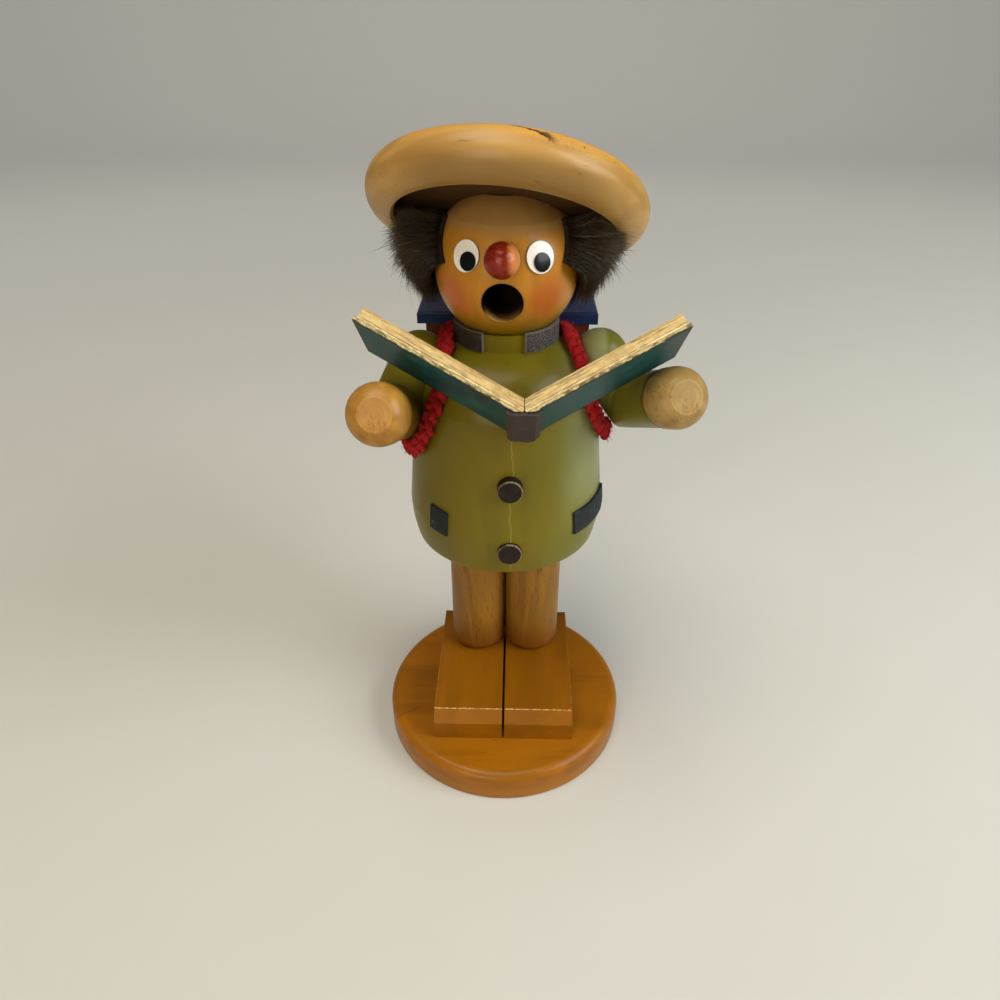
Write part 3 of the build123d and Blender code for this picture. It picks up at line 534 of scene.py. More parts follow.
def grain_group():
    """Wood grain along Z: wavy growth bands, fine fibres and short dark flecks."""
    recipe, vector, light, dark, bands, flecks, size = new_group(
        "Wood grain", ("Color", "Height"), Vector=None, Light=(0.5, 0.3, 0.1, 1),
        Dark=(0.3, 0.15, 0.05, 1), Bands=260.0, Flecks=0.4, Fleck_size=1.0)
    warp = vector.place(stretch=(1, 1, 0.12)).noise(55, 3, 0.55, 0.4)
    fibre = vector.place(stretch=(1, 1, 0.045)).noise(2600, 2, 0.6)
    ring = recipe.math("SINE", warp * bands * 0.16)
    broad = vector.place(stretch=(1, 1, 0.4)).noise(95, 2, 0.5)
    tone = ring.step(-1.0, 1.0) * 0.42 + broad * 0.75
    colour = recipe.mix(recipe.math("SUBTRACT", tone, 0.10, use_clamp=True), light, dark)
    colour = recipe.mix(fibre.step(0.45, 0.75) * 0.22, colour, dark)
    lines = vector.place(stretch=(1, 1, 0.10)).noise(1500.0 / size, 1.0, 0.5)
    patches = vector.noise(130, 2).step(0.42, 0.62)
    fleck = recipe.math("MULTIPLY", lines.step(0.66, 0.74) * patches, flecks, use_clamp=True)
    darker = recipe.mix(1.0, dark, (0.36, 0.30, 0.26), "MULTIPLY")
    return recipe.send(Color=recipe.mix(fleck, colour, darker), Height=fibre * 0.5 - fleck * 0.5)


def mottle_group():
    """Handled lacquer: broad clouds, fine specks and small pale scuffs, as three masks."""
    recipe, vector, scale = new_group("Handled lacquer", ("Clouds", "Specks", "Scuffs"),
                                      Vector=None, Scale=1.0)
    patches = vector.noise(scale * 160.0, 3).step(0.55, 0.70)
    return recipe.send(
        Clouds=vector.noise(scale * 70.0, 4, 0.55, 0.3).step(0.33, 0.68),
        Specks=vector.noise(scale * 2400.0, 2, 0.6).step(0.62, 0.78),
        Scuffs=vector.noise(scale * 1500.0, 3, 0.7, 1.0).step(0.60, 0.70) * patches)


def spot_group():
    """Soft round spot round a centre: 1 inside its radius, 0 outside, with a wobbly rim."""
    recipe, vector, centre, radius, softness, wobble = new_group(
        "Soft spot", ("Mask",), Vector=None, Centre=None, Radius=4.0 * MM, Softness=3.0 * MM,
        Wobble=0.0)
    away = recipe.node("ShaderNodeVectorMath", "Value", {0: vector, 1: centre},
                       operation="DISTANCE")
    away = away + (vector.noise(420, 3) - 0.5) * wobble
    return recipe.send(Mask=((away - radius) / softness).step(1.0, 0.0))


def line_group():
    """Thin wandering line at X = Across, between two heights along Z, as a mask."""
    recipe, vector, across, low, high, width, wander = new_group(
        "Wandering line", ("Mask",), Vector=None, Across=0.0, Low=0.0, High=100.0 * MM,
        Width=0.2 * MM, Wander=2.0 * MM)
    x, _, z = vector.parts()
    drift = recipe.node("ShaderNodeCombineXYZ", 0, {2: z}).noise(90, 4, 0.6) - 0.5
    line = (abs(x - (across + drift * wander)) / width).step(1.0, 0.4)
    return recipe.send(Mask=line * (z.above(low) * z.below(high)))


def hide_group():
    """Suede and leather: pebbled nap as a tone and a height."""
    recipe, vector, scale = new_group("Suede nap", ("Tone", "Height"), Vector=None, Scale=1.0)
    nap = vector.noise(scale * 5200.0, 3, 0.7) * 0.65 + vector.noise(scale * 700.0, 3) * 0.45
    return recipe.send(Tone=nap.step(0.32, 0.78), Height=nap)


class Look(Recipe):
    """A material with one Principled shader, whose tone is laid on colour by colour."""

    def __init__(self, name, **uniform):
        self.material = bpy.data.materials.new(name)
        self.material.use_nodes = True
        super().__init__(self.material.node_tree)
        shader = next(n for n in self.tree.nodes if n.type == "BSDF_PRINCIPLED")
        self.inputs = shader.inputs
        for key, value in uniform.items():
            self.put(self.inputs[key.replace("_", " ")], value)
        self.where = self.node("ShaderNodeTexCoord", "Object")
        self.noise, self.place, self.parts = self.where.noise, self.where.place, self.where.parts

    def own_map(self):
        """The piece's own UV map."""
        return self.node("ShaderNodeUVMap", 0, uv_map="UVMap")

    def grain(self, vector, light, dark, bands=260.0, flecks=0.4, size=1.0):
        """Start the tone and a height with wood grain along the vector's Z."""
        self.tone, self.height = self.group(grain_group, Vector=vector, Light=light, Dark=dark,
                                            Bands=bands, Flecks=flecks, Fleck_size=size)

    def mottle(self, vector=None, scale=1.0):
        """Clouds, specks and scuffs of handled lacquer."""
        return self.group(mottle_group, Vector=vector or self.where, Scale=scale)

    def spot(self, vector, centre, radius, softness, wobble):
        """Mask of a soft spot, with its sizes in millimetres."""
        return self.group(spot_group, Vector=vector, Centre=centre, Radius=radius * MM,
                          Softness=softness * MM, Wobble=wobble * MM)[0]

    def over(self, mask, colour):
        """Lay a colour over the tone where the mask says so."""
        self.tone = self.mix(mask, self.tone, colour)

    def finish(self, rough=None, coat=None, height=None, depth=0.05, strength=0.5):
        """Send the tone, the roughness, the coat weight and a bump, its depth in millimetres."""
        self.put(self.inputs["Base Color"], self.tone)
        if rough is not None:
            self.put(self.inputs["Roughness"], rough)
        if coat is not None:
            self.put(self.inputs["Coat Weight"], coat)
        if height is not None:
            self.put(self.inputs["Normal"], self.node(
                "ShaderNodeBump", "Normal",
                {"Height": height, "Distance": depth * MM, "Strength": strength}))
        return self.material


def varnished(name, roughness, level, ior=1.45, **uniform):
    """Look under a varnish with this roughness and index of refraction."""
    return Look(name, Coat_Roughness=roughness, Coat_IOR=ior, Specular_IOR_Level=level,
                **uniform)


def dress(material, *names):
    """Put a material on CAD nodes."""
    for name in names:
        mesh = NODES[name].data
        for index in range(len(mesh.materials)):
            mesh.materials[index] = material


def tint(colour, *shares):
    """A colour whose parts are multiplied by one share, or each by its own."""
    return tuple(min(1.0, part * share) for part, share in zip(colour, shares * (4 - len(shares))))


def frame_turn(x_axis, z_axis):
    """Turn of the frame with these X and Z axes."""
    return Matrix((x_axis, z_axis.cross(x_axis), z_axis)).transposed().to_euler("XYZ")


def stand_wood(colour):
    """Amber-stained beech with grain from left to right and a hairline crack."""
    look = varnished("stained beech", 0.24, 0.15)
    look.grain(look.place(turn=(0, math.pi / 2, 0)), tint(colour, 1.18),
               tint(colour, 0.60), 150.0, 0.35)
    clouds, specks, scuffs = look.mottle()
    look.over(clouds * 0.35, tint(colour, 0.80))
    look.over(specks * 0.25, tint(colour, 2.2))
    _, _, z = look.parts()
    # Painted highlight: a paler, bluer band low on the side of the base.
    look.over(z.ramp(5.0, 2.0) * 0.6, tint(colour, 1.05, 1.25, 6.0))
    x, y, _ = look.place(centre=(-30.0 * MM, -13.0 * MM, 0.0), turn=(0, 0, 0.52)).parts()
    hairline = abs(y).ramp(0.16, 0.05) * abs(x).ramp(6, 4)
    look.over(hairline * 0.7, tint(colour, 0.2))
    return look.finish(0.32 + clouds * 0.14, 0.20 - scuffs * 0.19, look.height, strength=0.35)


def shoe_wood(colour):
    """The stand's stain with grain along the shoe and pale worn edges."""
    look = varnished("shoe wood", 0.26, 0.15)
    look.grain(look.place(turn=(math.pi / 2, 0, 0)), tint(colour, 0.90),
               tint(colour, 0.56), 150.0, 0.10)
    clouds, _, _ = look.mottle()
    x, y, z = look.parts()
    below_top = z - SHOE_HIGH.z
    near = length(y - (SHOE_LOW.y + 3.0 * MM), below_top).ramp(0.26, 0.12)
    outer = length(abs(x) + SHOE_LOW.x, below_top).ramp(0.25, 0.1)
    worn = (near | outer * 0.3) * look.noise(1400, 3, 0.7).step(0.40, 0.60)
    look.over(clouds * 0.30, tint(colour, 0.82))
    look.over(worn * 0.8, (0.74, 0.48, 0.17))
    # Painted shade: darker towards the rear end of the shoe, under the figure.
    look.over(y.ramp(-5, 0, SHOE_HIGH.y) * 0.6, tint(colour, 0.45))
    return look.finish(0.34 + clouds * 0.12, 0.16 - worn * 0.15, look.height, strength=0.35)


def leg_wood(colour):
    """Brown beech with upright grain and many short dark flecks, darker at the foot."""
    look = varnished("leg beech", 0.30, 0.2)
    look.grain(look.where, tint(colour, 1.0), tint(colour, 0.55), 330.0, 1.0, 0.9)
    clouds, _, scuffs = look.mottle()
    _, _, z = look.parts()
    dashes = look.place(stretch=(1, 1, 0.14)).noise(2100, 2, 0.6, 0.2)
    look.over(dashes.step(0.60, 0.66) * 0.45, tint(colour, 0.30, 0.25, 0.2))
    look.over(z.ramp(15, 0, SHOE_HIGH.z) * 0.80, tint(colour, 0.50, 0.27, 0.06))
    return look.finish(0.36 + clouds * 0.14, 0.14 - scuffs * 0.12, look.height, 0.06, 0.45)


def bare_wood(colour):
    """Plain bare beech for dowels and pegs."""
    look = Look("bare beech", Roughness=0.6)
    look.grain(look.where, tint(colour, 1.1), tint(colour, 0.7), flecks=0.5)
    return look.finish(height=look.height)


def coat_lacquer(colour):
    """Olive lacquer over turned wood: clouds of yellow, a painted grey-green sheen towards the
    right side, a thin glue line in front.
    """
    look = varnished("olive lacquer", 0.22, 0.12, 1.5)
    look.grain(look.where, tint(colour, 1.10), tint(colour, 0.74), 120.0, 0.12)
    clouds, specks, scuffs = look.mottle()
    x, y, z = look.parts()
    hem = COAT_LOW.z
    gold = tint(colour, 1.12, 0.92, 0.5)
    look.over(clouds * 0.6, gold)
    # Painted sheen: the lacquer turns greener towards the right side, standing for the window's
    # reflection.
    look.over(x.ramp(2, 24) * 0.7, tint(colour, 0.95, 1.22, 4.0))
    # Painted reflection: a pale grey-green sheen high on the right side.
    pale = x.ramp(11, 21) * z.ramp(6, 28, hem)
    pale = pale * x.ramp(25.5, 23.8)
    look.over(pale * 0.60, (0.32, 0.34, 0.16))
    look.over(z.ramp(1.4, 0.2, hem) * 0.5, tint(gold, 1.5))
    glue, = look.group(line_group, Vector=look.where, Across=1.6 * MM, Low=hem + 1.5 * MM,
                       High=hem + 40 * MM, Width=0.17 * MM, Wander=4.5 * MM)
    glue = glue * y.ramp(0, -10, AXIS_Y)
    look.over(glue * 0.5, (0.34, 0.27, 0.09))
    spot = look.spot(look.where, (-2.6 * MM, AXIS_Y - 25.2 * MM, hem + 28.4 * MM), 0.25, 0.6, 1.2)
    look.over(spot * 0.7, tint(colour, 0.22))
    look.over(scuffs * 0.30, tint(colour, 1.8, 1.9, 7.0))
    look.over(specks * 0.16, tint(colour, 0.4))
    return look.finish(0.34 + clouds * 0.12, 0.22 - scuffs * 0.20,
                       look.height * 0.5 + glue * 0.8, 0.06, 0.35)


def face_point(turn, lift):
    """Point on the head at a turn from -Y towards +X and a lift upwards, in degrees."""
    turn, lift = math.radians(turn), math.radians(lift)
    return (HEAD_RADIUS * math.sin(turn) * math.cos(lift),
            AXIS_Y - HEAD_RADIUS * math.cos(turn) * math.cos(lift),
            HEAD_MIDDLE + HEAD_RADIUS * math.sin(lift))


def head_wood(colour):
    """Amber head: upright grain, rouge on the cheeks, painted shade and greyish reflection of the
    hat on the brow, painted shade at the chin, soot and painted shade in the mouth.
    """
    look = varnished("amber head wood", 0.22, 0.18, 1.48)
    look.grain(look.place(centre=(3 * MM, 0, 0)), tint(colour, 1.15), tint(colour, 0.60),
               150.0, 0.30)
    clouds, specks, _ = look.mottle()
    _, _, z = look.parts()
    look.over(clouds * 0.35, tint(colour, 0.80, 0.86, 0.7))
    # Painted shade and a greyish painted reflection of the hat's underside on the top of the brow.
    brow = z.ramp(21.8, 24.6, HEAD_FOOT)
    look.over(brow * 0.70, tint(colour, 0.62, 0.90, 3.6))
    # Painted shade: darker towards the head's foot, under the chin.
    foot = z.ramp(8, -1, HEAD_FOOT)
    look.over(foot * 0.90, tint(colour, 0.32, 0.52, 0.10))
    for turn, radius in ((-46.0, 2.2), (35.0, 2.0)):
        rouge = look.spot(look.where, face_point(turn, -10.0), radius, 5.2, 1.8)
        look.over(rouge * 0.66, (0.42, 0.080, 0.014))
    across, ahead, up = look.place(centre=(0, AXIS_Y, MOUTH_Z),
                                         turn=(0, 0, FACE_TURN)).parts()
    from_mouth = length(across, up)
    in_front = ahead.below(HEAD_RADIUS * 0.7)
    worn = from_mouth.ramp(0.7, 0.1, MOUTH_RADIUS) * in_front
    look.over(worn * 0.45, tint(colour, 0.45))
    # Soot and painted shade: dark inside the mouth and the hollow head.
    inside = from_mouth.ramp(0.12, 0.02, MOUTH_RADIUS) * in_front
    x, y, z = look.place(centre=(0, AXIS_Y, HEAD_MIDDLE)).parts()
    core = length(length(x, y), z)
    inside = inside | core.step(HEAD_RADIUS * 0.72, HEAD_RADIUS * 0.68)
    # Painted light: the lower wall is amber near the front, where light reaches in, and the upper
    # wall is painted near black as shade.
    lit = look.mix(ahead.step(-HEAD_RADIUS, -HEAD_RADIUS * 0.45), (0.62, 0.34, 0.085),
                   (0.016, 0.008, 0.004))
    look.over(inside, look.mix(up.ramp(-1.5, -4.2), (0.004, 0.003, 0.002), lit))
    look.over(specks * 0.10, tint(colour, 0.3))
    return look.finish(0.30 + clouds * 0.12 + inside * 0.4, 0.22 * (1.0 - inside),
                       look.height, strength=0.35)


def nose_lacquer(colour):
    """Red lacquer that has worn through to the wood on the nose's right side."""
    look = varnished("red lacquer", 0.16, 0.15, 1.5, Roughness=0.30)
    low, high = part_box("nose")
    x, _, _ = look.parts()
    drift = (look.noise(420, 4) - 0.5) * (2.4 * MM)
    worn = (x - (low.x + high.x) / 2 + drift).ramp(0.9, 2.6)
    look.tone = look.mix(look.noise(900, 3).step(0.3, 0.7), tint(colour, 0.75),
                         tint(colour, 1.25, 1.8, 1.5))
    look.over(worn, (0.60, 0.215, 0.060))
    return look.finish(coat=0.30 - worn * 0.1, height=look.noise(1500, 3), strength=0.3)


def eye_paint(side):
    """Thick off-white paint with a faint speckle and a thin dark line of painted shadow round it.
    """
    look = Look(f"eye white {side}", Coat_Roughness=0.12, Coat_Weight=0.4)
    low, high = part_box(f"{side}_eye")
    clouds, specks, _ = look.mottle()
    look.tone = look.mix(specks * 0.25, (0.93, 0.90, 0.82), (0.66, 0.60, 0.50))
    turn = FACE_TURN + EYE_TURN * (-1 if side == "left" else 1)
    across, _, up = look.place(centre=(0, AXIS_Y, EYE_Z), turn=(0, 0, turn)).parts()
    half = (high.z - low.z) / 2
    # Painted shadow: a thin dark line round the rim of the raised eye.
    look.over(length(across, up).step(half * 0.965, half) * 0.85, (0.07, 0.04, 0.015))
    return look.finish(0.28 + clouds * 0.1)


def pupil_paint():
    """Black paint."""
    look = Look("pupil black", Coat_Weight=0.2, Coat_Roughness=0.1, Specular_IOR_Level=0.2)
    clouds, specks, _ = look.mottle()
    look.tone = look.mix(clouds, (0.002, 0.003, 0.003), (0.005, 0.007, 0.008))
    return look.finish(0.25 + specks * 0.2)


def hat_wood(colour):
    """Light wood with grain across the hat, gold stain and a painted warm glow on top, painted
    shade under the brim and in the hollow, cracked crown.
    """
    look = varnished("hat wood", 0.24, 0.2)
    own = look.place(centre=HAT_CENTRE, turn=frame_turn(HAT_ACROSS, HAT_UP))
    look.grain(own.place(turn=(0, math.pi / 2, 0), stretch=(1, 0.5, 1)), tint(colour, 1.16),
               tint(colour, 0.68, 0.60, 0.45), 230.0, 0.55)
    clouds, specks, _ = look.mottle(own)
    x, y, z = own.parts()
    away = length(x, y)
    look.over(clouds * 0.4, tint(colour, 0.78, 0.70, 0.50))
    # Gold stain on the upper surface, made more orange to stand for a painted warm glow there.
    gold = z.ramp(0.5, 4.6) * clouds.step(-0.3, 0.9)
    look.over(gold * 0.70, (0.68, 0.31, 0.030))
    # Painted shade on the underside of the brim.
    under = z.ramp(0.5, -3.5) * abs(x).ramp(27.0, 14.0)
    look.over(under * 0.62, tint(colour, 0.38, 0.35, 0.30))
    lip = abs(away - (HAT_HOLLOW + 0.45 * MM)).ramp(0.55, 0.25)
    look.over(lip * z.ramp(-4.4, -4.8) * 0.45, tint(colour, 1.5))
    # Painted shade: dark brown inside the hollow.
    hollow = away.ramp(0.1, -0.1, HAT_HOLLOW) * z.ramp(0.2, 0)
    look.over(hollow, (0.075, 0.036, 0.010))
    bent = away + (own.noise(420, 4, 0.65) - 0.5) * (2.2 * MM) - x * 0.27
    front = y.ramp(-15, -20) * z.ramp(1.0, 1.8)
    arc = x.ramp(-7.5, -4.5) * x.ramp(8.5, 5.5)
    scar = abs(bent - 29.6 * MM).ramp(0.42, 0.12) * arc * front
    chips = x.ramp(3, 8) * front * own.noise(1500, 3, 0.7).step(0.60, 0.66)
    blotch = look.spot(own, (5.4 * MM, -30.2 * MM, 3.4 * MM), 0.5, 1.0, 2.6)
    dark = scar | chips * 0.75 | blotch * 0.85
    look.over(dark, (0.040, 0.022, 0.010))
    look.over(specks * 0.25, tint(colour, 0.35))
    return look.finish(0.34 + clouds * 0.12 + hollow * 0.3, 0.20 * (1.0 - (hollow | dark)),
                       look.height * 0.4 - dark * 2.0, 0.10, 0.5)


def hand_wood(colour, side):
    """Pale turned wood: rings round the hand's axis, grain along it, fine dark checks."""
    look = varnished(f"{side} hand wood", 0.24, 0.2)
    # Painted light: the right hand gets a paler, bluer colour for the window light on it.
    if side == "right":
        colour = tint(colour, 0.92, 1.22, 2.4)
    aim, elbow = HAND_AIMS[side]
    way = (aim - elbow).normalized()
    own = look.place(centre=elbow + way * SLEEVE_LENGTH + way * HAND_LENGTH,
                           turn=way.to_track_quat("Z", "Y").to_euler("XYZ"))
    look.grain(own, tint(colour, 1.15), tint(colour, 0.62, 0.55, 0.45), 210.0, 0.55)
    clouds, _, _ = look.mottle(own, 1.4)
    x, y, z = own.parts()
    away = length(x, y)
    rings = look.math("SINE", (away + own.noise(300, 3) * (1.6 * MM)) * 5200.0)
    rings = rings.step(-0.2, 1.0) * z.ramp(-3, 0.5)
    look.over(rings * 0.30, tint(colour, 0.74, 0.60, 0.42))
    look.over(clouds * 0.30, tint(colour, 0.90, 0.70, 0.42))
    facet = abs(away - 3.75 * MM).ramp(0.30, 0.08) * z.ramp(-1.2, -0.4)
    look.over(facet * 0.16, tint(colour, 1.6))
    checks = abs(own.place(stretch=(1, 0.18, 0.5)).noise(900, 4, 0.7, 0.6) - 0.5)
    checks = checks.step(0.014, 0.005) * own.noise(170, 2).step(0.46, 0.56)
    look.over(checks * 0.7, (0.09, 0.045, 0.014))
    # Painted shade: a dark band in the groove at the wrist, where the hand meets the sleeve.
    groove = z.ramp(2.4, 1.5, -HAND_LENGTH)
    look.over(groove * 0.85, tint(colour, 0.16))
    return look.finish(0.34 + clouds * 0.12, 0.22 - checks * 0.20, look.height * 0.5 - checks,
                       0.06, 0.4)


def leather(name, colour, edge, nap=1.0, sheen=0.25):
    """Thin leather or suede with a pebbled nap and paler worn places."""
    look = Look(name, Specular_IOR_Level=0.2, Sheen_Weight=sheen, Sheen_Roughness=0.5,
                Sheen_Tint=edge)
    tone, height = look.group(hide_group, Vector=look.where, Scale=nap)
    look.tone = look.mix(tone, tint(colour, 0.55), tint(colour, 1.45))
    look.over(look.noise(420, 4, 0.65).step(0.58, 0.72) * 0.35, edge)
    look.finish(0.66 + tone * 0.2, height=height, depth=0.12, strength=0.7)
    return look


def collar_leather():
    """Grey-brown suede, grey on the right, whose cut upper, lower and end edges are pale."""
    look = leather("collar suede", (0.030, 0.022, 0.016), (0.13, 0.12, 0.11), sheen=0.0)
    low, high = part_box("collar")
    x, y, z = look.parts()
    edges = z.ramp(-0.14, -0.04, high.z) | z.ramp(0.14, 0.04, low.z)
    right, left = (look.place(centre=(0, AXIS_Y, 0), turn=(0, 0, turn)).parts()[0]
                   for turn in COLLAR_ENDS)
    ends = abs(right).ramp(0.26, 0.10) | abs(left).ramp(0.26, 0.10)
    cut = edges | ends * y.ramp(-5, -8, AXIS_Y)
    grey = look.mix(look.noise(3200, 2, 0.7).step(0.42, 0.62), (0.030, 0.027, 0.024),
                    (0.12, 0.115, 0.105))
    look.over(x.ramp(2, 7), grey)
    look.over(cut * 0.55, (0.30, 0.25, 0.19))
    return look.finish()


def button_finish(node):
    """Dark pebbled disc with a pale worn rim."""
    look = Look(f"{node} finish", Specular_IOR_Level=0.15)
    low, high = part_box(node)
    centre = (low + high) / 2
    front = low.y - centre.y
    x, y, z = look.place(centre=centre).parts()
    tone, height = look.group(hide_group, Vector=look.where, Scale=0.8)
    rim = length(x, z).ramp(2.78, 2.95) * look.noise(800, 3).step(0.30, 0.55)
    rim = rim * (y.ramp(0.75, 0.45, front) * 0.6)
    look.tone = look.mix(tone, (0.007, 0.004, 0.003), (0.030, 0.020, 0.014))
    look.over(rim, (0.42, 0.33, 0.19))
    look.put(look.inputs["Metallic"], rim * 0.55)
    return look.finish(0.62 - rim * 0.25, height=height, depth=0.10, strength=0.6)


def wing_axes(side):
    """Directions along a wing, up the spine, and away from the wing's outer face."""
    spine = Vector((0, -math.cos(BOOK_LEAN), math.sin(BOOK_LEAN)))
    across = Vector((1, 0, 0))
    upward = spine.cross(across)
    along = across * (side * math.cos(BOOK_RISE)) + upward * math.sin(BOOK_RISE)
    above = across * (-side * math.sin(BOOK_RISE)) + upward * math.cos(BOOK_RISE)
    return along, spine, above


def wing_place(look, side):
    """Object coordinates in a wing's own frame, whose Y points down the spine on the right."""
    along, _, above = wing_axes(side)
    return look.place(centre=BOOK_FOOT, turn=frame_turn(along, above))


def cover_paint(colour, side, name):
    """Teal-green paint on a board: brush clouds, rubbed brown edges and pale scratches."""
    look = varnished(f"{name} cover paint", 0.30, 0.12)
    own = wing_place(look, side)
    clouds, _, scuffs = look.mottle(own, 1.3)
    x, y, z = own.parts()
    y = y * float(-side)
    brush = own.place(stretch=(0.08, 1, 1)).noise(1500, 3, 0.6)
    look.tone = look.mix(clouds, tint(colour, 0.50), tint(colour, 1.3, 1.25, 1.2))
    look.over(brush * 0.35, tint(colour, 1.6, 0.80, 0.55))
    drift = own.noise(480, 4, 0.7) - 0.5
    wander = drift * (1.5 * MM)
    near_end = WING_LENGTH[side] - x
    near_top = BOOK_HEIGHT - y
    rubbed = ((near_end & (y & near_top)) + wander).ramp(0.55, 0.05)
    look.over(rubbed * 0.75, (0.030, 0.020, 0.010))
    worn_end = (near_end + wander * 3.0).ramp(1.6, 0.3)
    look.over(worn_end * 0.7, (0.050, 0.028, 0.012))
    look.over(scuffs * 0.30, (0.16, 0.19, 0.13))
    cut_face = ((near_top + drift * (0.10 * MM)).ramp(0.07, 0.03)
                * (z + drift * (0.9 * MM)).ramp(0.16, 0.30))
    chips = own.place(stretch=(0.35, 1, 1)).noise(1500, 3, 0.7).step(0.40, 0.55)
    look.over(cut_face, look.mix(chips, (0.13, 0.095, 0.035), (0.52, 0.41, 0.18)))
    look.over(z.step(COVER_THICKNESS * 0.80, COVER_THICKNESS * 0.95), (0.20, 0.14, 0.055))
    return look.finish(0.42 + clouds * 0.2, 0.10 - rubbed * 0.08, brush * 0.5 - rubbed, 0.06, 0.4)


def page_paper(side, name):
    """Gilded page edges with long dark fibres, and plain aged paper on the inner faces."""
    look = Look(f"{name} page gold")
    u, _, _ = look.own_map().parts()
    own = wing_place(look, side)
    streaks = own.place(stretch=(0.05, 0.3, 1)).noise(3400, 3, 0.6, 0.2)
    broken = own.place(stretch=(0.35, 1, 1)).noise(1400, 3, 0.7)
    gold = look.mix(broken.step(0.35, 0.68), (0.46, 0.31, 0.10), (0.60, 0.44, 0.17))
    gold = look.mix(streaks.step(0.54, 0.62) * 0.62, gold, (0.10, 0.060, 0.018))
    _, _, above = own.parts()
    strip = above.ramp(0.56, 0.50, COVER_THICKNESS)
    rope = look.mix(broken.step(0.42, 0.56), (0.40, 0.29, 0.11), (0.68, 0.55, 0.28))
    look.tone = look.mix(look.noise(300, 4), (0.60, 0.50, 0.32), (0.72, 0.63, 0.44))
    look.over(look.noise(120, 3).step(0.55, 0.75) * 0.4, (0.44, 0.31, 0.15))
    cut_edge = u.step(0.4, 0.6)
    look.over(cut_edge, look.mix(strip, gold, rope))
    return look.finish(0.72 - cut_edge * 0.22, height=streaks + broken * 0.6, depth=0.10)


def fur_hair(root, tip):
    """Fur: near black at the root, brown at the tip, a few pale guard hairs."""
    look = Look("dark fur", Roughness=0.48, Specular_IOR_Level=0.35)
    u, v, _ = look.own_map().parts()
    look.tone = look.mix(v.step(0.15, 1.0), root, tip)
    look.over(u.step(0.35, 0.95), tint(tip, 0.45))
    look.over(u.above(0.975) * v.step(0.2, 0.6) * 0.8, (0.30, 0.25, 0.17))
    look.over(look.noise(150, 2).step(0.35, 0.7) * 0.35, tint(root, 1.2))
    return look.finish()


def wool(colour):
    """Red wool: yarn twist from the strand's own map, with dark painted shade in the grooves and
    pale fibres.
    """
    look = Look("red wool", Roughness=0.85, Specular_IOR_Level=0.2, Sheen_Weight=0.12,
                Sheen_Roughness=0.45, Sheen_Tint=(1.0, 0.25, 0.20))
    fibre = look.own_map().place(turn=(0, 0, 0.5), stretch=(16, 260, 1)).noise(1.0, 3, 0.65)
    # Painted shade: darker where the fibre height is low, in the yarn's grooves.
    look.tone = look.mix(fibre.step(0.34, 0.62), tint(colour, 0.22), colour)
    look.over(fibre.step(0.60, 0.78) * 0.6, (0.78, 0.045, 0.045))
    look.over(look.noise(380, 3).step(0.40, 0.70) * 0.4, tint(colour, 0.40))
    return look.finish(height=fibre, depth=0.30, strength=0.9)


def painted_wood(name, colour, worn_colour):
    """Painted flat wood with brush clouds and rubbed specks."""
    look = varnished(name, 0.28, 0.15)
    clouds, _, scuffs = look.mottle(scale=1.2)
    brush = look.place(stretch=(0.1, 1, 1)).noise(1300, 3, 0.6)
    look.tone = look.mix(clouds, tint(colour, 0.65), tint(colour, 1.35))
    look.over(brush * 0.25, tint(colour, 0.5))
    look.over(scuffs * 0.5, worn_colour)
    return look.finish(0.38 + clouds * 0.15, 0.3 - scuffs * 0.3, brush, strength=0.35)


def tin_finish():
    """Pressed tin, greyed and spotted by ash."""
    look = Look("pressed tin", Metallic=0.9)
    ash = look.noise(500, 4, 0.65).step(0.42, 0.66)
    look.tone = look.mix(ash, (0.62, 0.60, 0.55), (0.16, 0.14, 0.12))
    return look.finish(0.30 + ash * 0.4, height=ash, depth=0.04, strength=0.4)


def steel_finish():
    """Plain nail steel with fine scratches."""
    look = Look("nail steel", Metallic=1.0)
    scratch = look.place(stretch=(1, 0.1, 1)).noise(4000, 2)
    look.tone = look.mix(scratch, (0.40, 0.40, 0.41), (0.58, 0.58, 0.58))
    return look.finish(0.28 + scratch * 0.2)


def under_hat(points, margin):
    """Points pushed down along the hat's axis until they lie below its ceiling and lip."""
    up = np.array(HAT_UP)
    from_centre = points - np.array(HAT_CENTRE)
    height = from_centre @ up
    away = np.linalg.norm(from_centre - height[..., None] * up, axis=-1)
    share = np.clip((away - (HAT_HOLLOW - 2.2 * MM)) / (2.0 * MM), 0, 1)
    share = share * share * (3 - 2 * share)
    allowed = HAT_CEILING + (HAT_LIP - HAT_CEILING) * share - margin
    return points - np.maximum(height - allowed, 0)[..., None] * up


def hat_level(points, depth):
    """Height of the plane that lies at a depth along the hat's axis, over points in plan."""
    return HAT_CENTRE.z + (depth - HAT_UP.x * points[..., 0]
                           - HAT_UP.y * (points[..., 1] - HAT_CENTRE.y)) / HAT_UP.z


def strip_place(across, level):
    """Turn and height on the fur strip: across runs from the right temple round the back to
    the left one, level from the strip's lower edge to its upper one.

    The front edges slant backwards as they rise, the lower edge falls in proportion to how far
    a place lies behind the temples, and the upper edge stops below the hat's ceiling.
    """
    start = np.radians(RIGHT_TEMPLE + RIGHT_SLANT * level)
    stop = np.radians(360 - LEFT_TEMPLE - LEFT_SLANT * level)
    turn = start + (stop - start) * across
    rear = HEAD_RADIUS * (math.cos(math.radians(FALL_START)) - np.cos(turn))
    low = FUR_FOOT - FUR_FALL * rear
    seen = round_the_figure(turn, HEAD_RADIUS, 0 * turn)
    high = np.minimum(FUR_TOP, hat_level(seen, HAT_CEILING - 0.5 * MM))
    high = np.maximum(high, low + 2.0 * MM)
    return turn, low + (high - low) * level, rear


